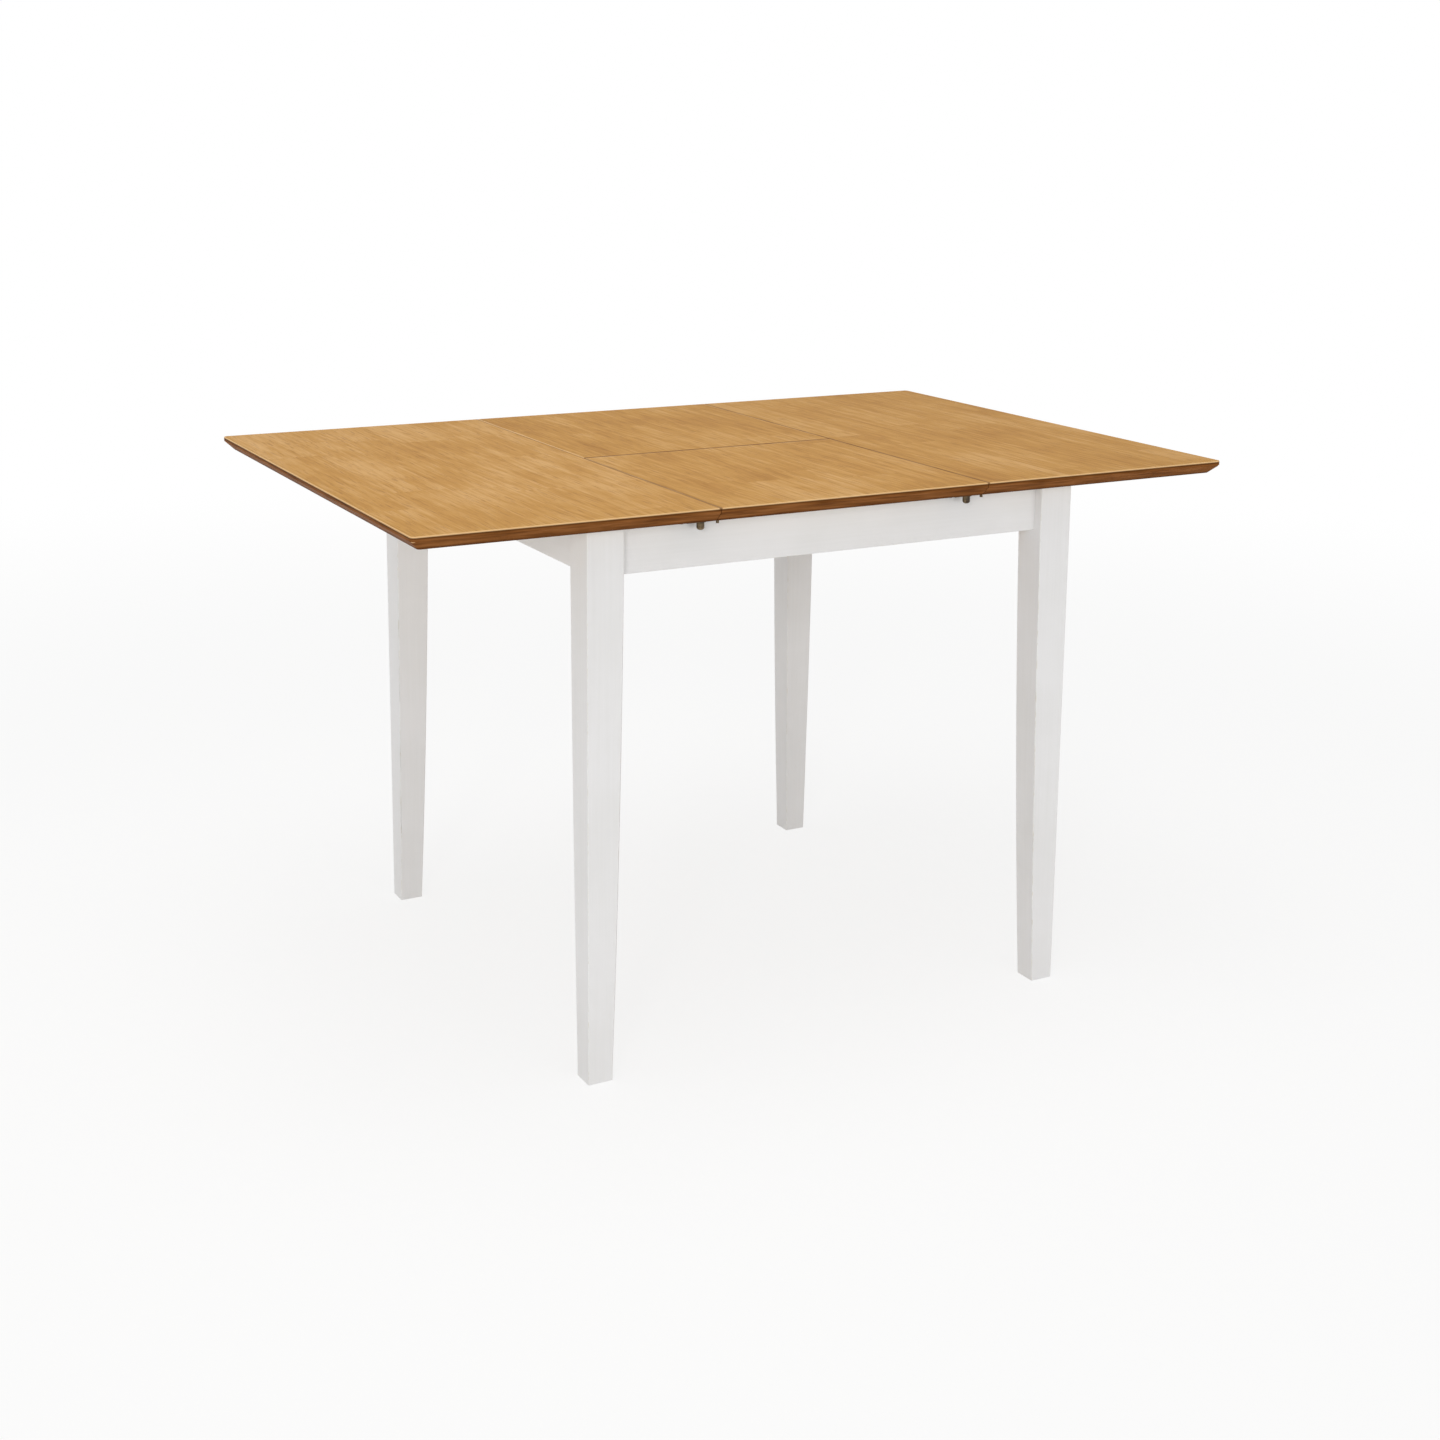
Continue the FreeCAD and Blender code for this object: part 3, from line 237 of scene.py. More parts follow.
# %% World and lamps
ROOM_LIGHT = 0.60
WHITE = (1, 1, 1, 1)
LAMP_AIM = Vector((0, 0, 0.45))
# Each lamp has a name, a place in metres, the side of its square in metres, and its power in watts.
LAMPS = (
    ("key_lamp", (-4.45, -5.69, 2.6), 1.1, 84.0),
    ("front_lamp", (1.4, -7.4, 0.7), 2.4, 74.0),
    ("left_lamp", (-7.4, 0.3, 0.5), 1.2, 38.0),
    ("over_lamp", (-0.5, -0.3, 3.2), 2.2, 27.0),
)

scene.view_settings.view_transform = "Standard"
room = bpy.data.worlds.new("white_room")
room.use_nodes = True
scene.world = room
room_sky = room.node_tree.nodes["Background"]
room_sky.inputs["Color"].default_value = WHITE
room_level = between(room.node_tree, seen_directly(room.node_tree), 0, 1, ROOM_LIGHT, 1.0)
room.node_tree.links.new(room_level, room_sky.inputs["Strength"])
for lamp_name, lamp_place, lamp_side, lamp_power in LAMPS:
    lamp = bpy.data.lights.new(lamp_name, "AREA")
    lamp.size = lamp_side
    lamp.energy = lamp_power
    lamp_stand = bpy.data.objects.new(lamp_name, lamp)
    lamp_stand.location = lamp_place
    lamp_stand.rotation_euler = (LAMP_AIM - Vector(lamp_place)).to_track_quat("-Z", "Y").to_euler()
    scene.collection.objects.link(lamp_stand)
print("lamps:", len(LAMPS), "room light:", ROOM_LIGHT)

# %% [markdown]
# ## Tools for patterns
# Wood, paint and metal all show patterns that are longer one way than the other. A picture of such a pattern
# could be wrapped round each piece, but noise needs no picture and doesn't repeat. It looks the same in all
# directions, so the place at which it is read is scaled first: a small number along one axis draws the
# pattern out that way. Places are always read in the piece's own space, so a pattern stays on its piece when
# the leaf swings or a half slides.

# %% Places and noise
def axes(tree, vector, signed=True):
    """The X, Y and Z of a vector, or their sizes without the sign."""
    if not signed:
        size = tree.nodes.new("ShaderNodeVectorMath")
        size.operation = "ABSOLUTE"
        tree.links.new(vector, size.inputs[0])
        vector = size.outputs[0]
    parts = tree.nodes.new("ShaderNodeSeparateXYZ")
    tree.links.new(vector, parts.inputs[0])
    return parts.outputs["X"], parts.outputs["Y"], parts.outputs["Z"]


def stretched(tree, place, scale, turn=(0, 0, 0), shift=(0, 0, 0)):
    """A place turned and scaled, so that a pattern read there is drawn out along the grain."""
    turned = tree.nodes.new("ShaderNodeMapping")
    feed(tree, turned.inputs["Vector"], place)
    turned.inputs["Rotation"].default_value = turn
    turned.inputs["Location"].default_value = shift
    scaled = tree.nodes.new("ShaderNodeVectorMath")
    scaled.operation = "MULTIPLY"
    tree.links.new(turned.outputs[0], scaled.inputs[0])
    scaled.inputs[1].default_value = scale
    return scaled.outputs[0]


def pushed(tree, place, amount, way):
    """A place pushed along a way by an amount that changes from point to point."""
    node = tree.nodes.new("ShaderNodeVectorMath")
    node.operation = "MULTIPLY_ADD"
    tree.links.new(amount, node.inputs[0])
    node.inputs[1].default_value = way
    tree.links.new(place, node.inputs[2])
    return node.outputs[0]


def noise(tree, place, scale, detail=2.0, roughness=0.5, wander=0.0):
    """Smooth noise between 0 and 1."""
    node = tree.nodes.new("ShaderNodeTexNoise")
    feed(tree, node.inputs["Vector"], place)
    node.inputs["Scale"].default_value = scale
    node.inputs["Detail"].default_value = detail
    node.inputs["Roughness"].default_value = roughness
    node.inputs["Distortion"].default_value = wander
    return node.outputs[0]


print("tools for patterns:", ", ".join(tool.__name__ for tool in (axes, stretched, pushed, noise)))

# %% [markdown]
# ## The staves of the top
# Each of the four top boards is glued up from narrow staves of a straight-grained wood, laid with the grain
# across the table. A stave could be a mesh of its own, but all of them lie in one flat face and differ only
# in their grain, so it is enough to number them in the shader: divide a place by a stave's width and length,
# drop the fractions, and draw a random number and colour for the result. Each row starts at its own place,
# so the ends of the staves don't line up.

# %% Staves and glue lines
STAVE_WIDTH = 0.072
STAVE_LENGTH = 0.42
HALF_STAVE = 0.5
GLUE_LINE = 0.0008


def staves(tree, place):
    """A number and a colour drawn for each stave, and one on the glue lines between the rows of staves."""
    x, y, _ = axes(tree, place)
    across = sum_of(tree, "DIVIDE", x, STAVE_WIDTH)
    row = sum_of(tree, "FLOOR", across)
    row_draw = tree.nodes.new("ShaderNodeTexWhiteNoise")
    row_draw.noise_dimensions = "1D"
    tree.links.new(row, row_draw.inputs["W"])
    along = sum_of(tree, "DIVIDE", y, STAVE_LENGTH)
    along = sum_of(tree, "ADD", along, row_draw.outputs["Value"])
    stave = tree.nodes.new("ShaderNodeCombineXYZ")
    tree.links.new(row, stave.inputs["X"])
    tree.links.new(sum_of(tree, "FLOOR", along), stave.inputs["Y"])
    draw = tree.nodes.new("ShaderNodeTexWhiteNoise")
    tree.links.new(stave.outputs[0], draw.inputs["Vector"])
    from_line = sum_of(tree, "PINGPONG", across, HALF_STAVE)
    glue = between(tree, from_line, GLUE_LINE / STAVE_WIDTH, 0.0)
    return draw.outputs["Value"], draw.outputs["Color"], glue


print("rows of staves along the table:", math.ceil((solid_box[1].x - solid_box[0].x) / STAVE_WIDTH))

# %% [markdown]
# ## The grain of the top
# Up close the wood shows four things on top of each other: slow cloudy patches where the stain took
# differently, long streaks, fine lines, and short dark pores. One noise could stand for all of them, but
# would look like smoke. Here each of the four is a noise at its own scale, drawn out along the grain. Every
# stave reads its noise at a far-off place of its own, so the grain breaks off at the glue lines, while the
# clouds of the stain pass over them.

# %% Grain
STAIN_CLOUDS = {"scale": 8.0, "detail": 3.0, "roughness": 0.55}
CLOUD_STRETCH = (1, 0.7, 1)
GRAIN_BEND = {"scale": 3.0, "detail": 1.0}
BEND_STRETCH = (1, 0.3, 1)
STREAKS = {"scale": 42.0, "detail": 5.0, "roughness": 0.65}
FINE_LINES = {"scale": 190.0, "detail": 3.0, "roughness": 0.7}
LINE_STRETCH = (1, 0.05, 1)
PORES = {"scale": 620.0, "detail": 2.0, "roughness": 0.5}
PORE_STRETCH = (1, 0.04, 1)
PORE_RANGE = (0.58, 0.68)
OWN_GRAIN_AWAY = (3, 3, 3)
BEND_AWAY = (0.05, 0, 0)
CLOUD_SHARE = 0.30
STREAK_SHARE = 0.28
LINE_SHARE = 0.35
STAVE_SHARE = 0.07
GLUE_IN_CLOUDS = (0.35, 0.65)
GLUE_STRENGTH = (0.10, 0.30)


def part_of(tree, value, share):
    """A share of a value."""
    return sum_of(tree, "MULTIPLY", value, share)


def grain_across(tree, place):
    """The wood's tone between 0 and 1, its fine lines, pores and glue lines, with the grain along Y."""
    clouds = noise(tree, stretched(tree, place, CLOUD_STRETCH), **STAIN_CLOUDS)
    stave_tone, stave_draw, glue = staves(tree, place)
    own_grain = pushed(tree, place, stave_draw, OWN_GRAIN_AWAY)
    bend = noise(tree, stretched(tree, own_grain, BEND_STRETCH), **GRAIN_BEND)
    bent = pushed(tree, own_grain, bend, BEND_AWAY)
    streaks = noise(tree, stretched(tree, bent, LINE_STRETCH), **STREAKS)
    lines = noise(tree, stretched(tree, bent, LINE_STRETCH), **FINE_LINES)
    pores = noise(tree, stretched(tree, bent, PORE_STRETCH), **PORES)
    tone = part_of(tree, clouds, CLOUD_SHARE)
    tone = sum_of(tree, "MULTIPLY_ADD", streaks, STREAK_SHARE, tone)
    tone = sum_of(tree, "MULTIPLY_ADD", lines, LINE_SHARE, tone)
    tone = sum_of(tree, "MULTIPLY_ADD", stave_tone, STAVE_SHARE, tone)
    glue = part_of(tree, glue, between(tree, clouds, *GLUE_IN_CLOUDS, *GLUE_STRENGTH))
    return tone, lines, between(tree, pores, *PORE_RANGE), glue


print("grain is drawn out", round(1 / LINE_STRETCH[1]), "times along the staves")

# %% [markdown]
# ## Mixing colours
# The grain is still only a number at each point. A finisher would bring out its tones with stain, and lay
# darker stain over it where it gathers. Two tools do the same: one finds the number's colour in a row that
# goes from dark to light, and the other lays one colour over another by a share. Between them they make
# every colour below, so each finish only has to name its tones.

# %% Mixing colours
# The Mix node keeps sockets for every kind of value, and these are the ones for colours.
MIX_SHARE = 0
MIX_FIRST = 6
MIX_SECOND = 7
MIX_RESULT = 2
NEW_MARK_AT = 0.5


def ramp(tree, value, *stops):
    """A row of colours, each at its own place between 0 and 1."""
    node = tree.nodes.new("ShaderNodeValToRGB")
    feed(tree, node.inputs[0], value)
    marks = node.color_ramp.elements
    while len(marks) < len(stops):
        marks.new(NEW_MARK_AT)
    for mark, (at, colour) in zip(marks, stops):
        mark.position = at
        mark.color = colour
    return node.outputs[0]


def blended(tree, share, first, second):
    """Two colours mixed by a share of the second."""
    node = tree.nodes.new("ShaderNodeMix")
    node.data_type = "RGBA"
    feed(tree, node.inputs[MIX_SHARE], share)
    feed(tree, node.inputs[MIX_FIRST], first)
    feed(tree, node.inputs[MIX_SECOND], second)
    return node.outputs[MIX_RESULT]


print("sockets of the Mix node in use:", MIX_SHARE, MIX_FIRST, MIX_SECOND)

# %% [markdown]
# ## Seams and bevelled edges of the top
# Where the boards meet, a narrow margin runs along the seam: on some boards it is dark with stain that
# collects in the seam, on others a pale painted glint that stands in for light reflected from the eased edge.
# The bevelled edge round the top is a deep brown, darker along its upper line, with painted shade along its
# lower line, and the arris above it carries a painted highlight as a pale line. None of this needs more
# geometry: a margin follows from the distance to a seam, and the lines of the edge follow from the height of
# a point.

# %% Seam margins and edge colours
BOARD_TOP = solid_box[1].z
BOARD_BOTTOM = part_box("top_left")[0].z
SEAM = (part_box("top_right")[0].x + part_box("leaf_front")[1].x) / 2
MARGIN_BLUR = 0.0005
MARGIN_PATCHES = (0.38, 0.60)
# The dark colour of the edge's upper and lower lines; along the lower line it is painted shade under the
# board.
EDGE_LINE = shade(62, 34, 14)
EDGE_STOPS = ((0.30, shade(94, 54, 21)), (0.50, shade(128, 79, 38)), (0.72, shade(150, 98, 54)))
EDGE_GRAIN = {"scale": 240.0, "detail": 3.0, "roughness": 0.6}
EDGE_STRETCH = (0.06, 0.06, 1)
UPPER_LINE = (BOARD_TOP - 0.0048, BOARD_TOP - 0.0026)
LOWER_LINE = (BOARD_BOTTOM + 0.004, BOARD_BOTTOM + 0.0012)
EDGE_LINE_DARKNESS = 0.60


def seam_distances(tree, place):
    """How far a point lies from the nearer cross seam, and from the leaf's long seam."""
    along, across, _ = axes(tree, place, signed=False)
    from_cross_seam = sum_of(tree, "ABSOLUTE", sum_of(tree, "SUBTRACT", along, SEAM))
    not_on_leaf = sum_of(tree, "GREATER_THAN", along, SEAM)
    from_long_seam = sum_of(tree, "ADD", across, not_on_leaf)
    return from_cross_seam, from_long_seam


def margin_share(tree, distance, patches, width, weakest, strongest):
    """How much of a margin's colour lies on a point: none away from the seam, and patchy near it."""
    near = between(tree, distance, width + MARGIN_BLUR, width - MARGIN_BLUR)
    return part_of(tree, near, between(tree, patches, *MARGIN_PATCHES, weakest, strongest))


def edge_brown(tree, own_place, height):
    """The brown of the bevelled edge, darker along its upper line, with painted shade along its lower line.
    """
    along_edge = noise(tree, stretched(tree, own_place, EDGE_STRETCH), **EDGE_GRAIN)
    brown = ramp(tree, along_edge, *EDGE_STOPS)
    # Darker along the upper line, and painted shade along the lower line.
    dark_edge_lines = sum_of(tree, "MAXIMUM", between(tree, height, *UPPER_LINE), between(tree, height, *LOWER_LINE))
    return blended(tree, part_of(tree, dark_edge_lines, EDGE_LINE_DARKNESS), brown, EDGE_LINE)


print("cross seams at", round(SEAM, 4), "board from", round(BOARD_BOTTOM, 4), "to", round(BOARD_TOP, 4))

# %% [markdown]
# ## Starting a finish
# A finish starts as one shader and two readings: where a point is on its piece, and which way the surface
# faces there. Pores and other fine relief on the real table are a fraction of a millimetre deep. They could
# be cut into the mesh, which would then need millions of corners, so they are a bump in the shader.

# %% Start of a finish, and relief
def new_finish(name):
    """An empty finish with one shader, and the place and facing of each point in the piece's own space."""
    finish = bpy.data.materials.new(name)
    finish.use_nodes = True
    tree = finish.node_tree
    shader = tree.nodes["Principled BSDF"]
    where = tree.nodes.new("ShaderNodeTexCoord")
    return finish, tree, shader, where.outputs["Object"], where.outputs["Normal"]


def relief(tree, shader, height, depth, strength):
    """Raise and sink the surface by a height between 0 and 1, as deep as depth in metres."""
    bump = tree.nodes.new("ShaderNodeBump")
    bump.inputs["Strength"].default_value = strength
    bump.inputs["Distance"].default_value = depth
    feed(tree, bump.inputs["Height"], height)
    tree.links.new(bump.outputs[0], shader.inputs["Normal"])


print("slots that wait for a finish:", sum(len(piece.material_slots) for piece in pieces.values()))

# %% [markdown]
# ## The finish of a board
# Face, edge, arris and underside belong to one solid, so one finish has to tell them apart. Each face could
# have a slot of its own, but the mesh stays as it is, and the way that the surface faces does it as well:
# straight up is the honey-stained face, straight down is the underside, which a maker leaves unstained, and
# what lies between is edge. The varnish is thin and satin, and shines little.

# %% Tones and limits of a board
FACE_STOPS = ((0.355, shade(172, 121, 56)), (0.50, shade(195, 146, 78)), (0.645, shade(214, 170, 113)))
UNDERSIDE_STOPS = ((0.39, shade(178, 155, 126)), (0.50, shade(204, 183, 155)), (0.61, shade(221, 203, 177)))
PORE_BROWN = shade(135, 90, 50)
PORES_ON_FACE = 0.40
PORES_BELOW = 0.35
# A painted highlight: this pale colour is laid on the top arris and along the top of the edge, in the height
# range below.
ARRIS_HIGHLIGHT = shade(230, 191, 139)
PALE_LINE = (BOARD_TOP - 0.0022, BOARD_TOP - 0.0012)
PALE_STRENGTH = 0.8
FLAT_FACING = 0.985
ROUND_FACING = 0.90
FACING_UP = (ROUND_FACING, FLAT_FACING)
FACING_ARRIS = (0.12, 0.40)
FACING_DOWN = (-ROUND_FACING, -FLAT_FACING)
PATCH_SCALE = 14.0
SATIN = 0.36
SATIN_DRIFT = 0.22
DULLER_BELOW = 0.2
THIN_VARNISH = 0.012
PORE_SINK = -0.6
GRAIN_DEPTH = 0.0004
GRAIN_STRENGTH = 0.25
print("pale line begins", round(BOARD_TOP - PALE_LINE[0], 4), "metres below the top")

# %% [markdown]
# ## Laying a board's finish together
# The parts are laid over each other in the order in which a finisher works: the face with its grain, pores
# and glue lines, the margins along the seams, and the brown edge with a painted highlight on its arris. The
# underside comes last. Each part could be a material of its own, but inside one finish they can melt into
# each other along the rounded edge. The grain also decides where the surface shines less, and how deep its
# pores are.

# %% Board finish
def stained_board(name, shift, lift, cross_margin, long_margin):
    """Honey face, brown edge with a painted highlight on its arris, seam margins of stain or painted glint,
    and a plain underside, for one board.
    """
    finish, tree, shader, place, facing = new_finish(name)
    own_place = stretched(tree, place, (1, 1, 1), shift=shift)
    tone, lines, pores, glue = grain_across(tree, own_place)
    face = ramp(tree, sum_of(tree, "ADD", tone, lift), *FACE_STOPS)
    face = blended(tree, part_of(tree, pores, PORES_ON_FACE), face, PORE_BROWN)
    face = blended(tree, glue, face, PORE_BROWN)

    patches = noise(tree, own_place, PATCH_SCALE)
    # The painted highlight colour of the arris, which the seam margins tint below.
    arris = ARRIS_HIGHLIGHT
    # Each margin is either dark stain or a painted glint, as the board's recipe gives.
    for distance, (margin_colour, *measures) in zip(seam_distances(tree, place), (cross_margin, long_margin)):
        share = margin_share(tree, distance, patches, *measures)
        face = blended(tree, share, face, margin_colour)
        arris = blended(tree, share, arris, margin_colour)

    _, _, height = axes(tree, place)
    _, _, up = axes(tree, facing)
    edge = edge_brown(tree, own_place, height)
    # Painted highlight: a pale line along the top of the edge.
    edge = blended(tree, part_of(tree, between(tree, height, *PALE_LINE), PALE_STRENGTH), edge, arris)
    underside = ramp(tree, tone, *UNDERSIDE_STOPS)
    underside = blended(tree, part_of(tree, pores, PORES_BELOW), underside, PORE_BROWN)
    below = between(tree, up, *FACING_DOWN)
    # Painted highlight over the rounded arris between edge and face.
    colour = blended(tree, between(tree, up, *FACING_ARRIS), edge, arris)
    colour = blended(tree, between(tree, up, *FACING_UP), colour, face)
    colour = blended(tree, below, colour, underside)
    tree.links.new(colour, shader.inputs["Base Color"])

    gloss = sum_of(tree, "MULTIPLY_ADD", tone, SATIN_DRIFT, SATIN)
    gloss = sum_of(tree, "MULTIPLY_ADD", below, DULLER_BELOW, gloss)
    tree.links.new(gloss, shader.inputs["Roughness"])
    shader.inputs["Specular IOR Level"].default_value = THIN_VARNISH
    depth = sum_of(tree, "MULTIPLY_ADD", pores, PORE_SINK, lines)
    relief(tree, shader, depth, GRAIN_DEPTH, GRAIN_STRENGTH)
    print(name, "is a web of", len(tree.nodes), "nodes")
    return finish


# %% [markdown]
# ## Dressing the four boards
# Each board gets its own copy of the finish, with the grain read at another place and the stain a little
# lighter or darker, so that no two boards look alike. A margin is a colour, a width in metres, and its
# weakest and strongest share; a brown margin is stain, and a pale margin is a painted glint of reflected
# light. Looking across a seam, one sees mainly the arris of the board behind it, so that board's margin
# decides whether the seam looks dark or pale. A finish is given to a solid by filling its slots, which leaves
# the mesh alone.

# %% Boards
SEAM_BROWN = shade(124, 84, 48)
# Painted glint: this pale seam colour stands in for light reflected from the eased edges of the seams.
SEAM_GLINT = shade(236, 200, 148)
DARK_MARGIN = (SEAM_BROWN, 0.0026, 0.65, 0.88)
SOFT_MARGIN = (SEAM_BROWN, 0.0021, 0.38, 0.62)
# The pale margins are painted glints of reflected light, patchy along the seam.
GLINT_MARGIN = (SEAM_GLINT, 0.0024, 0.10, 0.55)
DARK_MIDDLE = (SEAM_BROWN, 0.0042, 0.85, 1.00)
GLINT_MIDDLE = (SEAM_GLINT, 0.0034, 0.20, 0.60)
# Each board has the place where its grain is read, the lift of its tone, and its margins on the cross seam
# and on the long seam.
BOARDS = {
    "top_left": ((0.31, 0.12, 0.0), 0.036, DARK_MARGIN, DARK_MIDDLE),
    "leaf_front": ((1.67, 0.53, 0.2), 0.0, SOFT_MARGIN, GLINT_MIDDLE),
    "leaf_back": ((2.94, 1.38, 0.4), -0.03, GLINT_MARGIN, DARK_MIDDLE),
    "top_right": ((4.13, 2.06, 0.6), 0.0, DARK_MARGIN, DARK_MIDDLE),
}


def dress(finish, *names):
    """Give a finish to the solids of these names."""
    for name in names:
        for holder in pieces[name].material_slots:
            holder.material = finish
    print(finish.name, "on", len(names), "pieces")


for board, recipe in BOARDS.items():
    dress(stained_board(f"stained_{board}", *recipe), board)

# %% [markdown]
# ## White paint
# Legs and aprons are sprayed satin white. Such paint is never quite flat: it lies in a fine orange-peel
# skin, the wood's grain shows through it as faint lines along the piece, and along the arrises, where hands
# and shoes rub, it wears a little thin and warm. An arris shows itself by its facing, which lies between
# those of two flat faces, so the wear needs no painting by hand.

# %% White paint
PAINT_STOPS = ((0.34, shade(228, 227, 226)), (0.60, shade(233, 232, 232)))
PAINT_WORN = shade(216, 209, 197)
PAINT_CLOUDS = {"scale": 9.0, "detail": 3.0}
PAINT_LINES = {"scale": 260.0, "detail": 3.0, "roughness": 0.6}
ORANGE_PEEL = {"scale": 900.0}
RUBBING = {"scale": 70.0, "detail": 4.0, "roughness": 0.65}
RUBBED_RANGE = (0.45, 0.70)
PAINT_CLOUD_SHARE = 0.65
PAINT_LINE_SHARE = 0.35
WORN_STRENGTH = 0.6
PAINT_GLOSS = 0.36
PAINT_GLOSS_DRIFT = 0.14
PAINT_SHINE = 0.40
PEEL_SHARE = 0.6
PAINT_DEPTH = 0.0002
PAINT_RELIEF = 0.18


def arris_share(tree, facing):
    """One on the rounded edges between two flat faces, and zero on the faces."""
    x, y, z = axes(tree, facing, signed=False)
    largest = sum_of(tree, "MAXIMUM", x, y)
    largest = sum_of(tree, "MAXIMUM", largest, z)
    return between(tree, largest, FLAT_FACING, ROUND_FACING)


def white_paint(name, stretch):
    """Satin paint whose faint grain lines run along the axis with the small number in stretch."""
    finish, tree, shader, place, facing = new_finish(name)
    clouds = noise(tree, place, **PAINT_CLOUDS)
    lines = noise(tree, stretched(tree, place, stretch), **PAINT_LINES)
    peel = noise(tree, place, **ORANGE_PEEL)
    tone = sum_of(tree, "MULTIPLY_ADD", lines, PAINT_LINE_SHARE, part_of(tree, clouds, PAINT_CLOUD_SHARE))
    rubbed = between(tree, noise(tree, place, **RUBBING), *RUBBED_RANGE)
    worn = part_of(tree, arris_share(tree, facing), rubbed)
    colour = blended(tree, part_of(tree, worn, WORN_STRENGTH), ramp(tree, tone, *PAINT_STOPS), PAINT_WORN)
    tree.links.new(colour, shader.inputs["Base Color"])
    gloss = sum_of(tree, "MULTIPLY_ADD", clouds, PAINT_GLOSS_DRIFT, PAINT_GLOSS)
    tree.links.new(gloss, shader.inputs["Roughness"])
    shader.inputs["Specular IOR Level"].default_value = PAINT_SHINE
    depth = sum_of(tree, "MULTIPLY_ADD", peel, PEEL_SHARE, lines)
    relief(tree, shader, depth, PAINT_DEPTH, PAINT_RELIEF)
    print(name, "is a web of", len(tree.nodes), "nodes")
    return finish


# %% [markdown]
# ## Painting legs and aprons
# Under the paint the grain runs along each piece: up a leg, and lengthwise in an apron. A turned copy of the
# noise for every piece would do, but there are only three directions, so three paints are enough.

# %% Legs and aprons
ALONG_X = (0.02, 1, 1)
ALONG_Y = (1, 0.02, 1)
ALONG_Z = (1, 1, 0.02)
LEGS = ("leg_front_left", "leg_front_right", "leg_back_right", "leg_back_left")
dress(white_paint("white_paint_upright", ALONG_Z), *LEGS)
dress(white_paint("white_paint_along", ALONG_X), "apron_front", "apron_back")
dress(white_paint("white_paint_across", ALONG_Y), "apron_left", "apron_right")

# %% [markdown]
# ## Plain wood below the top
# Corner blocks, rails, bearers, runners and pegs are never looked at from above, so a maker leaves them as
# plain pale hardwood. It shows growth lines, short flecks and saw-dull pores along the length of each piece.
# The honey stain's grain could be used again, but sawn wood is coarser and has no staves, so it gets a
# recipe of its own, with a turn that lays the grain along the piece.

# %% Plain wood
PALE_LIGHT = shade(222, 188, 143)
PALE_STOPS = ((0.32, shade(178, 134, 88)), (0.50, shade(206, 166, 118)), (0.68, PALE_LIGHT))
FLECK = shade(160, 112, 66)
WOOD_CLOUDS = {"scale": 16.0}
GROWTH = {"scale": 120.0, "detail": 4.0, "roughness": 0.6, "wander": 0.4}
GROWTH_STRETCH = (0.05, 1, 1)
FLECKS = {"scale": 900.0}
FLECK_STRETCH = (0.10, 1, 1)
FLECK_RANGE = (0.60, 0.72)
GROWTH_SHARE = 0.65
WOOD_CLOUD_SHARE = 0.35
FLECK_STRENGTH = 0.4
PALE_ARRIS = 0.25
SAWN_GLOSS = 0.5
SAWN_GLOSS_DRIFT = 0.2
SAWN_SHINE = 0.3
FLECK_SINK = -0.7
SAWN_DEPTH = 0.0004
SAWN_RELIEF = 0.3


def plain_wood(name, turn):
    """Pale hardwood with its grain along X after the turn."""
    finish, tree, shader, place, facing = new_finish(name)
    clouds = noise(tree, place, **WOOD_CLOUDS)
    growth = noise(tree, stretched(tree, place, GROWTH_STRETCH, turn), **GROWTH)
    flecks = noise(tree, stretched(tree, place, FLECK_STRETCH, turn), **FLECKS)
    flecks = between(tree, flecks, *FLECK_RANGE)
    tone = sum_of(tree, "MULTIPLY_ADD", growth, GROWTH_SHARE, part_of(tree, clouds, WOOD_CLOUD_SHARE))
    colour = blended(tree, part_of(tree, flecks, FLECK_STRENGTH), ramp(tree, tone, *PALE_STOPS), FLECK)
    colour = blended(tree, part_of(tree, arris_share(tree, facing), PALE_ARRIS), colour, PALE_LIGHT)
    tree.links.new(colour, shader.inputs["Base Color"])
    gloss = sum_of(tree, "MULTIPLY_ADD", growth, SAWN_GLOSS_DRIFT, SAWN_GLOSS)
    tree.links.new(gloss, shader.inputs["Roughness"])
    shader.inputs["Specular IOR Level"].default_value = SAWN_SHINE
    relief(tree, shader, sum_of(tree, "MULTIPLY_ADD", flecks, FLECK_SINK, growth), SAWN_DEPTH, SAWN_RELIEF)
    print(name, "is a web of", len(tree.nodes), "nodes")
    return finish


# %% [markdown]
# ## Dressing the hidden pieces
# A sawyer cuts every piece with its grain along its length, because a rail with the grain across would snap.
# The turns follow from how the pieces lie: none for rails and runners, a quarter turn for the bearers that
# cross them and for the upright pegs, and an eighth to either side for the corner blocks.

# %% Hidden pieces
QUARTER = math.pi / 2
EIGHTH = math.pi / 4
RUNNERS = ("runner_left_front", "runner_left_back", "runner_right_front", "runner_right_back")
dress(plain_wood("rail_wood", (0, 0, 0)), "slide_rail_front", "slide_rail_back", *RUNNERS)
dress(plain_wood("bearer_wood", (0, 0, QUARTER)), "bearer_left", "bearer_right")
dress(plain_wood("block_wood", (0, 0, EIGHTH)), "corner_block_front_left", "corner_block_back_right")
dress(plain_wood("block_wood_other", (0, 0, -EIGHTH)), "corner_block_front_right", "corner_block_back_left")
dress(plain_wood("peg_wood", (0, QUARTER, 0)), "stop_pegs_left", "stop_pegs_right")

# %% [markdown]
# ## Metal fittings
# The turn latches under the edge are antiqued bronze: nearly brown, and bright where fingers turn them.
# Hinge barrels are plain brass, and bolts, screws, arms and axles are zinc-plated steel, whose colour and
# gloss change a little from place to place. All three are the same kind of surface with other colours, so
# one function makes them from a dark and a light tone, and a bright one for the arrises. The slot of a solid
# tells which of the metals it is made of.

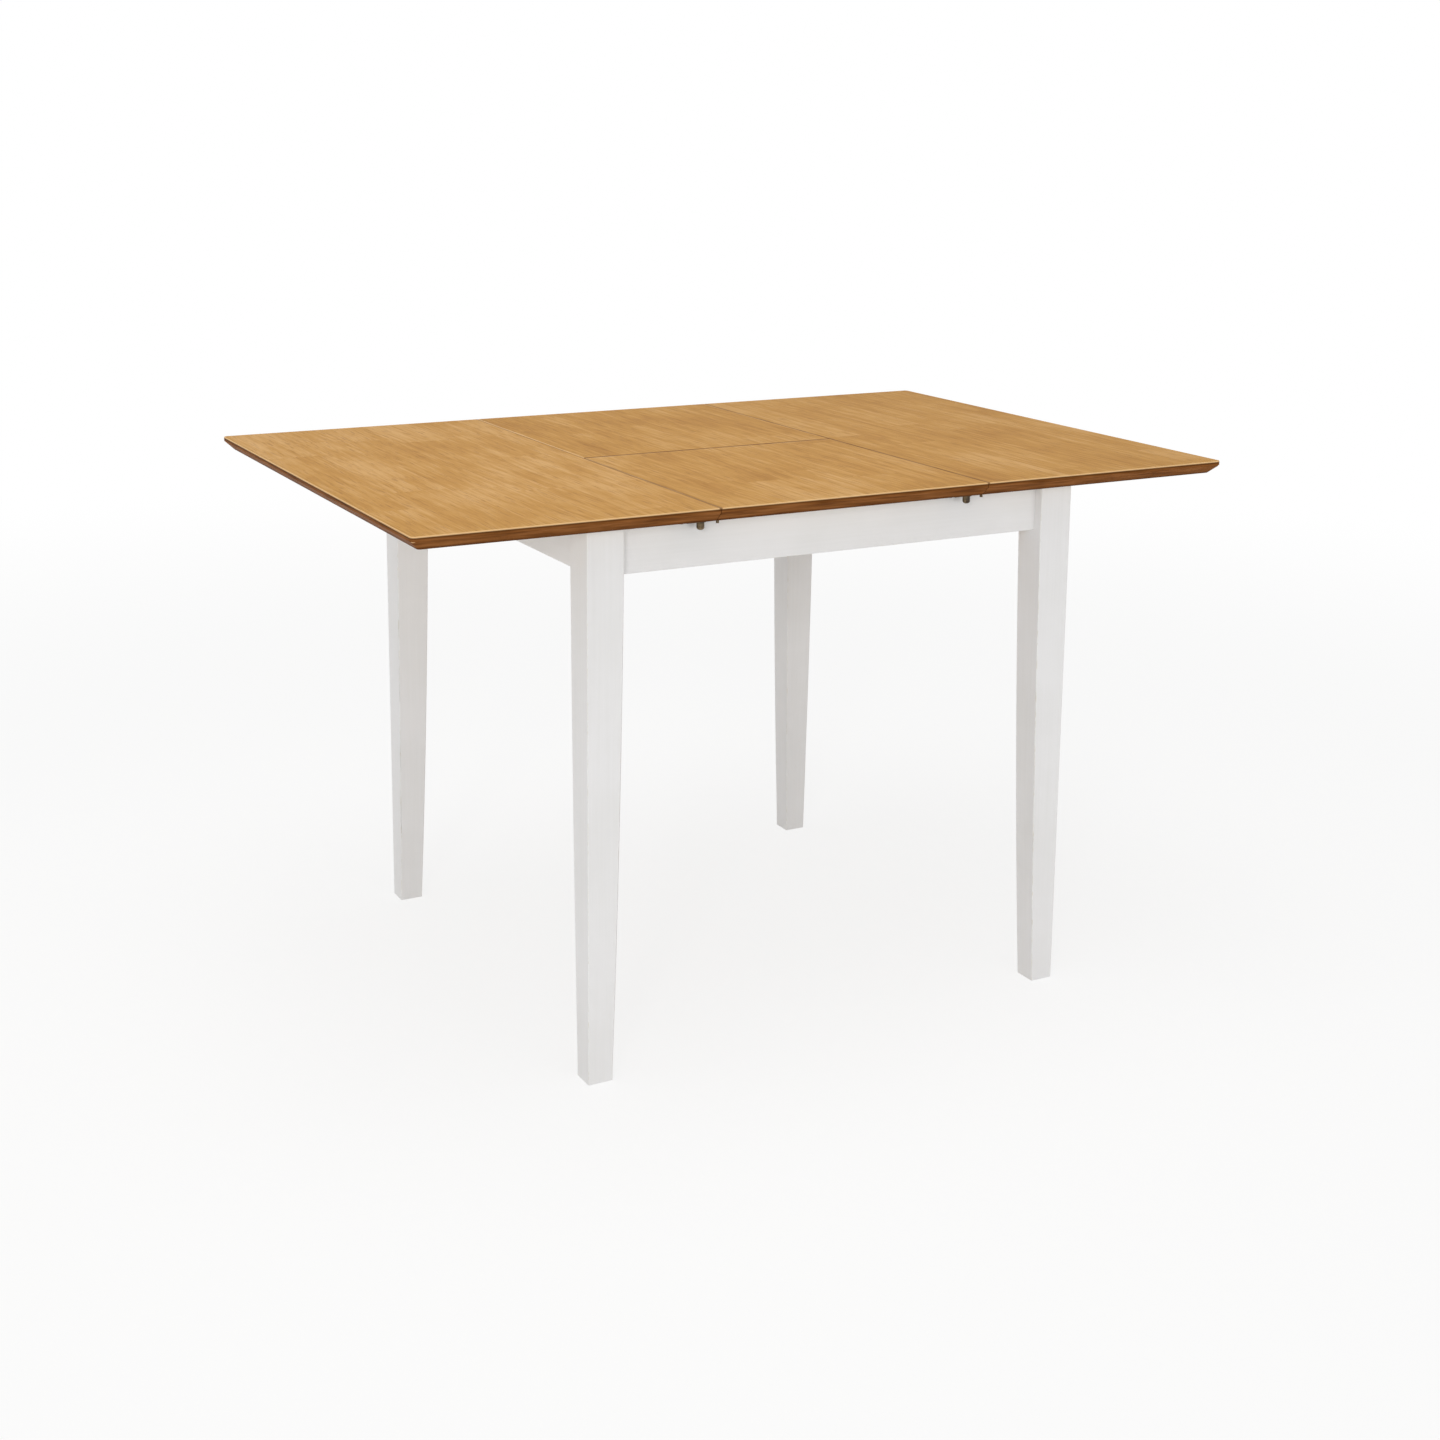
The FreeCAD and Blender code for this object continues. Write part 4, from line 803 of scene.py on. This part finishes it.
# %% Metals
METAL_DRIFT = {"scale": 90.0, "detail": 4.0, "roughness": 0.6}
TONE_RANGE = (0.35, 0.65)
GLOSS_RANGE = (0.3, 0.7)
SCRATCHES = {"scale": 1500.0}
SCRATCH_STRETCH = (1, 1, 0.1)
SCRATCH_DEPTH = 0.0001
SCRATCH_RELIEF = 0.15
BRIGHT_RANGE = (0.40, 0.62)
BRIGHT_STRENGTH = 0.35


def metal(name, dark, light, bright, gloss):
    """A metal whose colour and gloss drift between two values, rubbed bright on the arrises."""
    finish, tree, shader, place, facing = new_finish(name)
    drift = noise(tree, place, **METAL_DRIFT)
    scratch = noise(tree, stretched(tree, place, SCRATCH_STRETCH), **SCRATCHES)
    colour = ramp(tree, drift, *zip(TONE_RANGE, (dark, light)))
    rubbed = part_of(tree, arris_share(tree, facing), between(tree, drift, *BRIGHT_RANGE))
    colour = blended(tree, part_of(tree, rubbed, BRIGHT_STRENGTH), colour, bright)
    tree.links.new(colour, shader.inputs["Base Color"])
    shader.inputs["Metallic"].default_value = 1.0
    tree.links.new(between(tree, drift, *GLOSS_RANGE, *gloss), shader.inputs["Roughness"])
    relief(tree, shader, scratch, SCRATCH_DEPTH, SCRATCH_RELIEF)
    return finish


BRONZE_GLOSS = (0.28, 0.45)
BRASS_GLOSS = (0.22, 0.38)
STEEL_GLOSS = (0.24, 0.40)
bronze = metal("antique_bronze", shade(60, 52, 44), shade(108, 93, 72), shade(168, 147, 112), BRONZE_GLOSS)
brass = metal("plain_brass", shade(186, 150, 86), shade(214, 180, 112), shade(236, 208, 150), BRASS_GLOSS)
steel = metal("plated_steel", shade(150, 152, 154), shade(186, 188, 190), shade(214, 216, 218), STEEL_GLOSS)
SLOT_METALS = {"bronze": bronze, "brass": brass, "steel": steel}
for slot_name, slot_metal in SLOT_METALS.items():
    dress(slot_metal, *[n for n, o in pieces.items() if o.material_slots[0].name == slot_name])

# %% [markdown]
# ## Felt
# Small felt pads on the aprons carry the sliding halves, so that paint doesn't rub on wood. Felt is a mat of
# short fibres: dull, flecked, and soft at its edge. Real fibres could be grown as hair, but pads this small
# are never seen so near. Two noises of very different scale give the fibres and the thin spots, and the
# shader's own sheen gives the dusty edge.

# %% Felt
FELT_STOPS = ((0.3, shade(74, 74, 72)), (0.7, shade(122, 121, 117)))
FIBRES = {"scale": 2400.0, "detail": 3.0, "roughness": 0.7, "wander": 1.5}
THIN_SPOTS = {"scale": 220.0}
FIBRE_SHARE = 0.6
SPOT_SHARE = 0.4
FELT_ROUGHNESS = 0.95
FELT_SHINE = 0.1
FELT_DUST = 0.4
FIBRE_DEPTH = 0.0006
FIBRE_RELIEF = 0.6


def felt(name):
    """Grey felt of matted fibres."""
    finish, tree, shader, place, _ = new_finish(name)
    fibres = noise(tree, place, **FIBRES)
    spots = noise(tree, place, **THIN_SPOTS)
    tone = sum_of(tree, "MULTIPLY_ADD", fibres, FIBRE_SHARE, part_of(tree, spots, SPOT_SHARE))
    tree.links.new(ramp(tree, tone, *FELT_STOPS), shader.inputs["Base Color"])
    shader.inputs["Roughness"].default_value = FELT_ROUGHNESS
    shader.inputs["Specular IOR Level"].default_value = FELT_SHINE
    shader.inputs["Sheen Weight"].default_value = FELT_DUST
    relief(tree, shader, fibres, FIBRE_DEPTH, FIBRE_RELIEF)
    return finish


dress(felt("grey_felt"), "glide_pads")

# %% [markdown]
# ## The cross in a screw's head
# The solids show each screw as a plain pin with a plain head. A real one has a cross-shaped recess for the
# driver. Cutting the cross out with a boolean would leave an untidy mesh. A screw is a stack of rings, so
# instead every ring gets corners in the same directions, with one at each corner of the cross, and the rings
# of the recess reach as far as the cross does in each direction.

# %% Directions and reach of the cross
QUARTERS = 4
CROSS_ARM = 0.55
CROSS_WIDTH = 0.16
NEARLY_NOTHING = 1e-9


def cross_reach(angle):
    """How far a cross with arms of length CROSS_ARM reaches in one direction, as a share of the head."""
    wide = abs(math.cos(angle)) + NEARLY_NOTHING
    tall = abs(math.sin(angle)) + NEARLY_NOTHING
    lying = min(CROSS_ARM / wide, CROSS_WIDTH / tall)
    standing = min(CROSS_WIDTH / wide, CROSS_ARM / tall)
    return max(lying, standing)


def ring_angles():
    """Directions of a ring's corners, six to a quarter, with one at each corner of the cross."""
    tip = math.atan2(CROSS_WIDTH, CROSS_ARM)
    quarter = [0, tip, (tip + EIGHTH) / 2, EIGHTH, (3 * EIGHTH - tip) / 2, 2 * EIGHTH - tip]
    return [step + turn * QUARTER for turn in range(QUARTERS) for step in quarter]


RING_ANGLES = ring_angles()
print("corners to a ring:", len(RING_ANGLES))

# %% [markdown]
# ## The rings of a screw
# Wood screws have a slightly domed head, and the small screws of the latches a sunk one. Below the head come
# the thread and the point. A true thread is one long helix. At this size a row of ridges looks the same, and
# keeps to the same stack of rings.

# %% Rings of a screw
RECESS_DEPTH = 0.7
RECESS_FLOOR = 0.45
# Outlines of the two heads: how far down as a share of the head's height, and how wide as one of its radius.
SUNK_HEAD = ((0.0, 0.97), (0.03, 1.0))
DOMED_HEAD = ((0.0, 0.70), (0.10, 0.86), (0.30, 0.96), (0.55, 1.0), (1.0, 1.0))
THREAD_PITCH = 0.0014
THREAD_DEPTH = 0.22
THREADED_PART = 0.85
THREAD_ROOT = 0.35
THREAD_CREST = 0.85
POINT_WIDTH = 0.12


def round_ring(height, radius):
    """A ring whose corners all have the same radius."""
    return height, [radius] * len(RING_ANGLES)


def screw_rings(head, shank, head_height, length, sunk):
    """(height, radius of each corner) from the recess over the head and down the thread to the point."""
    cross = [cross_reach(a) * head for a in RING_ANGLES]
    rings = [(-head_height * RECESS_DEPTH, [RECESS_FLOOR * r for r in cross]), (0.0, cross)]
    outline = SUNK_HEAD if sunk else DOMED_HEAD
    rings += [round_ring(-drop * head_height, share * head) for drop, share in outline]
    rings.append(round_ring(-head_height, shank))
    for turn in range(int(length * THREADED_PART / THREAD_PITCH)):
        top = -head_height - turn * THREAD_PITCH
        rings.append(round_ring(top - THREAD_ROOT * THREAD_PITCH, shank * (1 - THREAD_DEPTH)))
        rings.append(round_ring(top - THREAD_CREST * THREAD_PITCH, shank))
    rings.append(round_ring(-head_height - length, shank * POINT_WIDTH))
    return rings


print("rings of a domed and a sunk head:", len(DOMED_HEAD), len(SUNK_HEAD))

# %% [markdown]
# ## Where the screws stand
# A solid of screws is one mesh with many islands. Their places could be typed in, but when they are read
# from the solid they follow every change of it. Welding the corners of a copy joins each screw's faces into
# one island. The copy is thrown away, so the solid itself is not touched.

# %% Find the screws
WELD = 1e-6


def islands(mesh):
    """The corners of each separate lump in a mesh, after welding a copy of it."""
    copy = bmesh.new()
    copy.from_mesh(mesh)
    bmesh.ops.remove_doubles(copy, verts=copy.verts, dist=WELD)
    left = set(copy.verts)
    lumps = []
    while left:
        todo = [left.pop()]
        lump = []
        while todo:
            corner = todo.pop()
            lump.append(corner.co.copy())
            near = {e.other_vert(corner) for e in corner.link_edges} & left
            left -= near
            todo.extend(near)
        lumps.append(lump)
    copy.free()
    return lumps


print("screws at the corner blocks:", len(islands(pieces["block_screws"].data)))

# %% [markdown]
# ## How a screw lies
# A real screw goes in straight, so each of these lies along one of the three axes. The longest side of an
# island gives the axis, and the wider end is the head. Fitting a cylinder would find the same for a slanted
# screw, but there is none in this table.

# %% Measure a screw
END_REACH = 10 * WELD


def screw_place(lump):
    """The middle of a screw's head face, the way from its point to its head, and its measures."""
    low = Vector([min(p[k] for p in lump) for k in range(3)])
    high = Vector([max(p[k] for p in lump) for k in range(3)])
    size = high - low
    axis = max(range(3), key=lambda k: size[k])
    across = [k for k in range(3) if k != axis]
    middle = (low + high) / 2

    def reach(end):
        near = [p for p in lump if abs(p[axis] - end) < END_REACH]
        return max(math.hypot(*(p[k] - middle[k] for k in across)) for p in near)

    at_low, at_high = reach(low[axis]), reach(high[axis])
    out = Vector((0, 0, 0))
    out[axis] = 1.0 if at_high > at_low else -1.0
    face = middle.copy()
    face[axis] = high[axis] if at_high > at_low else low[axis]
    return face, out, max(at_low, at_high), min(at_low, at_high), size[axis]


_, _, lug_head, lug_shank, lug_length = screw_place(islands(pieces["lug_screws"].data)[0])
print("a lug screw in metres:", round(lug_head, 4), round(lug_shank, 4), round(lug_length, 4))

# %% [markdown]
# ## Drawing the screws
# Each ring becomes a row of corners, and neighbouring rows are joined by a band of faces. Every screw could
# be an object of its own, but all screws of one solid move together, so they go into one mesh, which takes
# the solid's place: it rides on the same body, replaces the solid in what shows, and keeps its slot, so that
# a later scene can repaint it.

# %% Draw the screws
def add_screw(drawn, lump, head_height, sunk):
    """Add one screw to a mesh, where a plain pin stands."""
    face, out, head, shank, whole = screw_place(lump)
    stand = Matrix.Translation(face) @ out.to_track_quat("Z", "Y").to_matrix().to_4x4()
    rows = []
    for height, radii in screw_rings(head, shank, head_height, whole - head_height, sunk):
        spots = [Vector((r * math.cos(a), r * math.sin(a), height)) for a, r in zip(RING_ANGLES, radii)]
        rows.append([drawn.verts.new(stand @ spot) for spot in spots])
    for upper, lower in zip(rows, rows[1:]):
        for n in range(len(upper)):
            m = (n + 1) % len(upper)
            drawn.faces.new((upper[n], lower[n], lower[m], upper[m]))
    drawn.faces.new(rows[0])
    drawn.faces.new(reversed(rows[-1]))


def screws_for(node, body, slot, finish, head_height, sunk):
    """Threaded screws with cross recesses in place of one solid of plain pins."""
    drawn = bmesh.new()
    for lump in islands(pieces[node].data):
        add_screw(drawn, lump, head_height, sunk)
    bmesh.ops.recalc_face_normals(drawn, faces=drawn.faces)
    mesh = bpy.data.meshes.new(f"{node}_threaded")
    drawn.to_mesh(mesh)
    drawn.free()
    mesh.materials.append(finish)
    screws = bpy.data.objects.new(f"{node}_threaded", mesh)
    scene.collection.objects.link(screws)
    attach(screws, body)
    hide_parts(node)
    print(screws.name, "faces:", len(mesh.polygons))


# %% [markdown]
# ## The screws of the table
# Steel wood screws hold the corner blocks, the runners and the leaf's lugs. Small bronze ones hold the plates
# and keepers of the latches. Each set is listed with the body that it moves with, because a screw in the leaf
# has to swing along. Two kinds are enough, since every set takes its lengths from the solid.

# %% Screw sets
# A kind of screw has a slot, a finish, the height of its head in metres, and whether the head is sunk.
WOOD_SCREW = ("steel", steel, 0.003, False)
LATCH_SCREW = ("bronze", bronze, 0.0016, True)
SCREW_SETS = (
    ("block_screws", "base", WOOD_SCREW),
    ("runner_screws_left", "left_half", WOOD_SCREW),
    ("runner_screws_right", "right_half", WOOD_SCREW),
    ("lug_screws", "front_leaf", WOOD_SCREW),
    ("latch_screws_left", "left_half", LATCH_SCREW),
    ("latch_screws_right", "right_half", LATCH_SCREW),
    ("latch_screws_leaf_front", "front_leaf", LATCH_SCREW),
    ("latch_screws_leaf_back", "back_leaf", LATCH_SCREW),
)
for pin_node, pin_body, kind in SCREW_SETS:
    screws_for(pin_node, pin_body, *kind)
